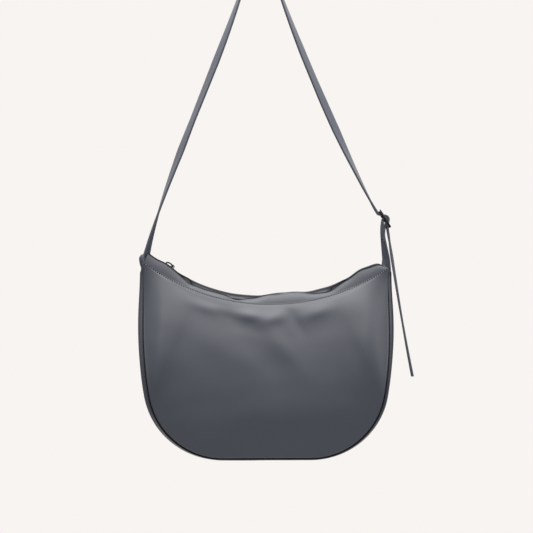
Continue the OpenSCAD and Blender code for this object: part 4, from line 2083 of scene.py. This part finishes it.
@dataclass
class Studio:
    """A pale room with soft light from above, its floor and the camera."""

    paper: Colour = (0.939, 0.905, 0.880)
    eye: Point = (-0.095, -3.0, -0.4718)
    target: Point = (0.00975, 0.0, -0.4718)
    lens: float = 135.0
    floor_z: float = -1.35
    sky: tuple[tuple[float, float], ...] = ((0.3, 0.04), (0.52, 0.17), (0.8, 3.0))
    lamps: tuple[Lamp, ...] = (
        Lamp("overhead_softbox", (0.0, -0.6, 1.1), (0.0, 0.0, -0.6), 1.4, 40.0),
        Lamp("front_softbox", (-0.6, -2.6, 0.6), (0.0, 0.0, -0.6), 1.6, 5.0),
        Lamp("side_softbox", (1.9, -1.3, 0.1), (0.0, 0.0, -0.5), 1.2, 9.0),
    )

    def build_world(self) -> None:
        """The room's light: bright above, dimmer below, and pale to the eye."""
        world = bpy.data.worlds.new("studio_room")
        world.use_nodes = True
        room = Nodes(world.node_tree)
        place = room.add("ShaderNodeTexCoord", {}, {}, "Generated")
        height = room.add("ShaderNodeSeparateXYZ", {}, {0: place}, "Z") * 0.5 + 0.5
        light = room.add("ShaderNodeValToRGB", {"stops": self.sky}, {"Fac": height})
        seen = room.add("ShaderNodeLightPath", {}, {}, "Is Camera Ray")
        inputs = {0: seen, 6: light, 7: (*self.paper, 1.0)}
        colour = room.add("ShaderNodeMix", {"data_type": "RGBA"}, inputs, 2)
        back = room.add("ShaderNodeBackground", {}, {"Color": colour})
        room.end("ShaderNodeOutputWorld", back)
        bpy.context.scene.world = world

    def build_floor(self) -> None:
        """A plain pale floor well below the hanging bag."""
        bm = bmesh.new()
        bmesh.ops.create_circle(bm, cap_ends=True, segments=96, radius=1.6)
        bmesh.ops.translate(bm, verts=bm.verts, vec=(0, 0, self.floor_z))
        mesh = bpy.data.meshes.new("studio_floor")
        bm.to_mesh(mesh)
        bm.free()
        floor = bpy.data.objects.new("studio_floor", mesh)
        bpy.context.scene.collection.objects.link(floor)
        s = Shader("pale_floor")
        tone = s.noise(s.place(), 2.0)
        colour = s.blend(tone, shade(self.paper, 0.48), shade(self.paper, 0.5))
        mesh.materials.append(s.close(Base_Color=colour, Roughness=0.9, Specular_IOR_Level=0.0))

    def build_camera(self) -> None:
        """A long lens straight in front of the bag, a little to the strap's side."""
        data = bpy.data.cameras.new("main_view")
        data.lens = self.lens
        data.sensor_width = 36.0
        data.clip_end = 50.0
        camera = bpy.data.objects.new("main_view", data)
        bpy.context.scene.collection.objects.link(camera)
        camera.location = self.eye
        aim = Vector(self.target) - Vector(self.eye)
        camera.rotation_euler = aim.to_track_quat("-Z", "Y").to_euler()
        bpy.context.scene.camera = camera

    def build(self) -> None:
        """Makes the whole studio."""
        self.build_world()
        self.build_floor()
        self.build_camera()
        for lamp in self.lamps:
            lamp.build()
        bpy.context.scene.view_settings.view_transform = "Standard"


def carry(obj: bpy.types.Object, body: Body) -> None:
    """Makes a piece ride on a body."""
    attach(obj, body.value)
    LOG.info("%s rides on %s", obj.name, body.value)


def build_bag() -> None:
    """Builds the studio and every sub-assembly in order."""
    Studio().build()
    finishes = Finishes()
    shape = BagShape()
    leather = LeatherBody(shape, finishes)
    facings = Facings(shape, finishes)
    stitching = Stitching(leather, finishes)
    lining = Lining(shape, finishes)
    closure = Zip(shape, finishes)
    carry(leather.build_gusset(), Body.BAG)
    for side in Side:
        carry(leather.build_panel(side), Body.BAG)
        carry(facings.build_strip(side), Body.BAG)
        carry(stitching.build_line(side), Body.BAG)
        carry(lining.build_face(side), Body.BAG)
        carry(closure.build_tape(side), Body.BAG)
        carry(closure.build_coil(side), Body.BAG)
    carry(lining.build_gusset(), Body.BAG)
    carry(lining.build_pocket(), Body.BAG)
    for stop in closure.build_stops():
        carry(stop, Body.BAG)
    carry(closure.build_slider(), Body.SLIDER)
    carry(closure.build_ring(), Body.RING)
    strap = Strap(finishes)
    long_strap = strap.build_long()
    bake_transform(long_strap)
    chape = strap.build_chape()
    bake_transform(chape)
    carry(strap.build_chape_stitches(), Body.STRAP)
    carry(strap.build_frame(), Body.STRAP)
    carry(strap.build_prong(), Body.PRONG)


if __name__ == "__main__":
    logging.basicConfig(level=logging.INFO, format="%(name)s: %(message)s")
    build_bag()
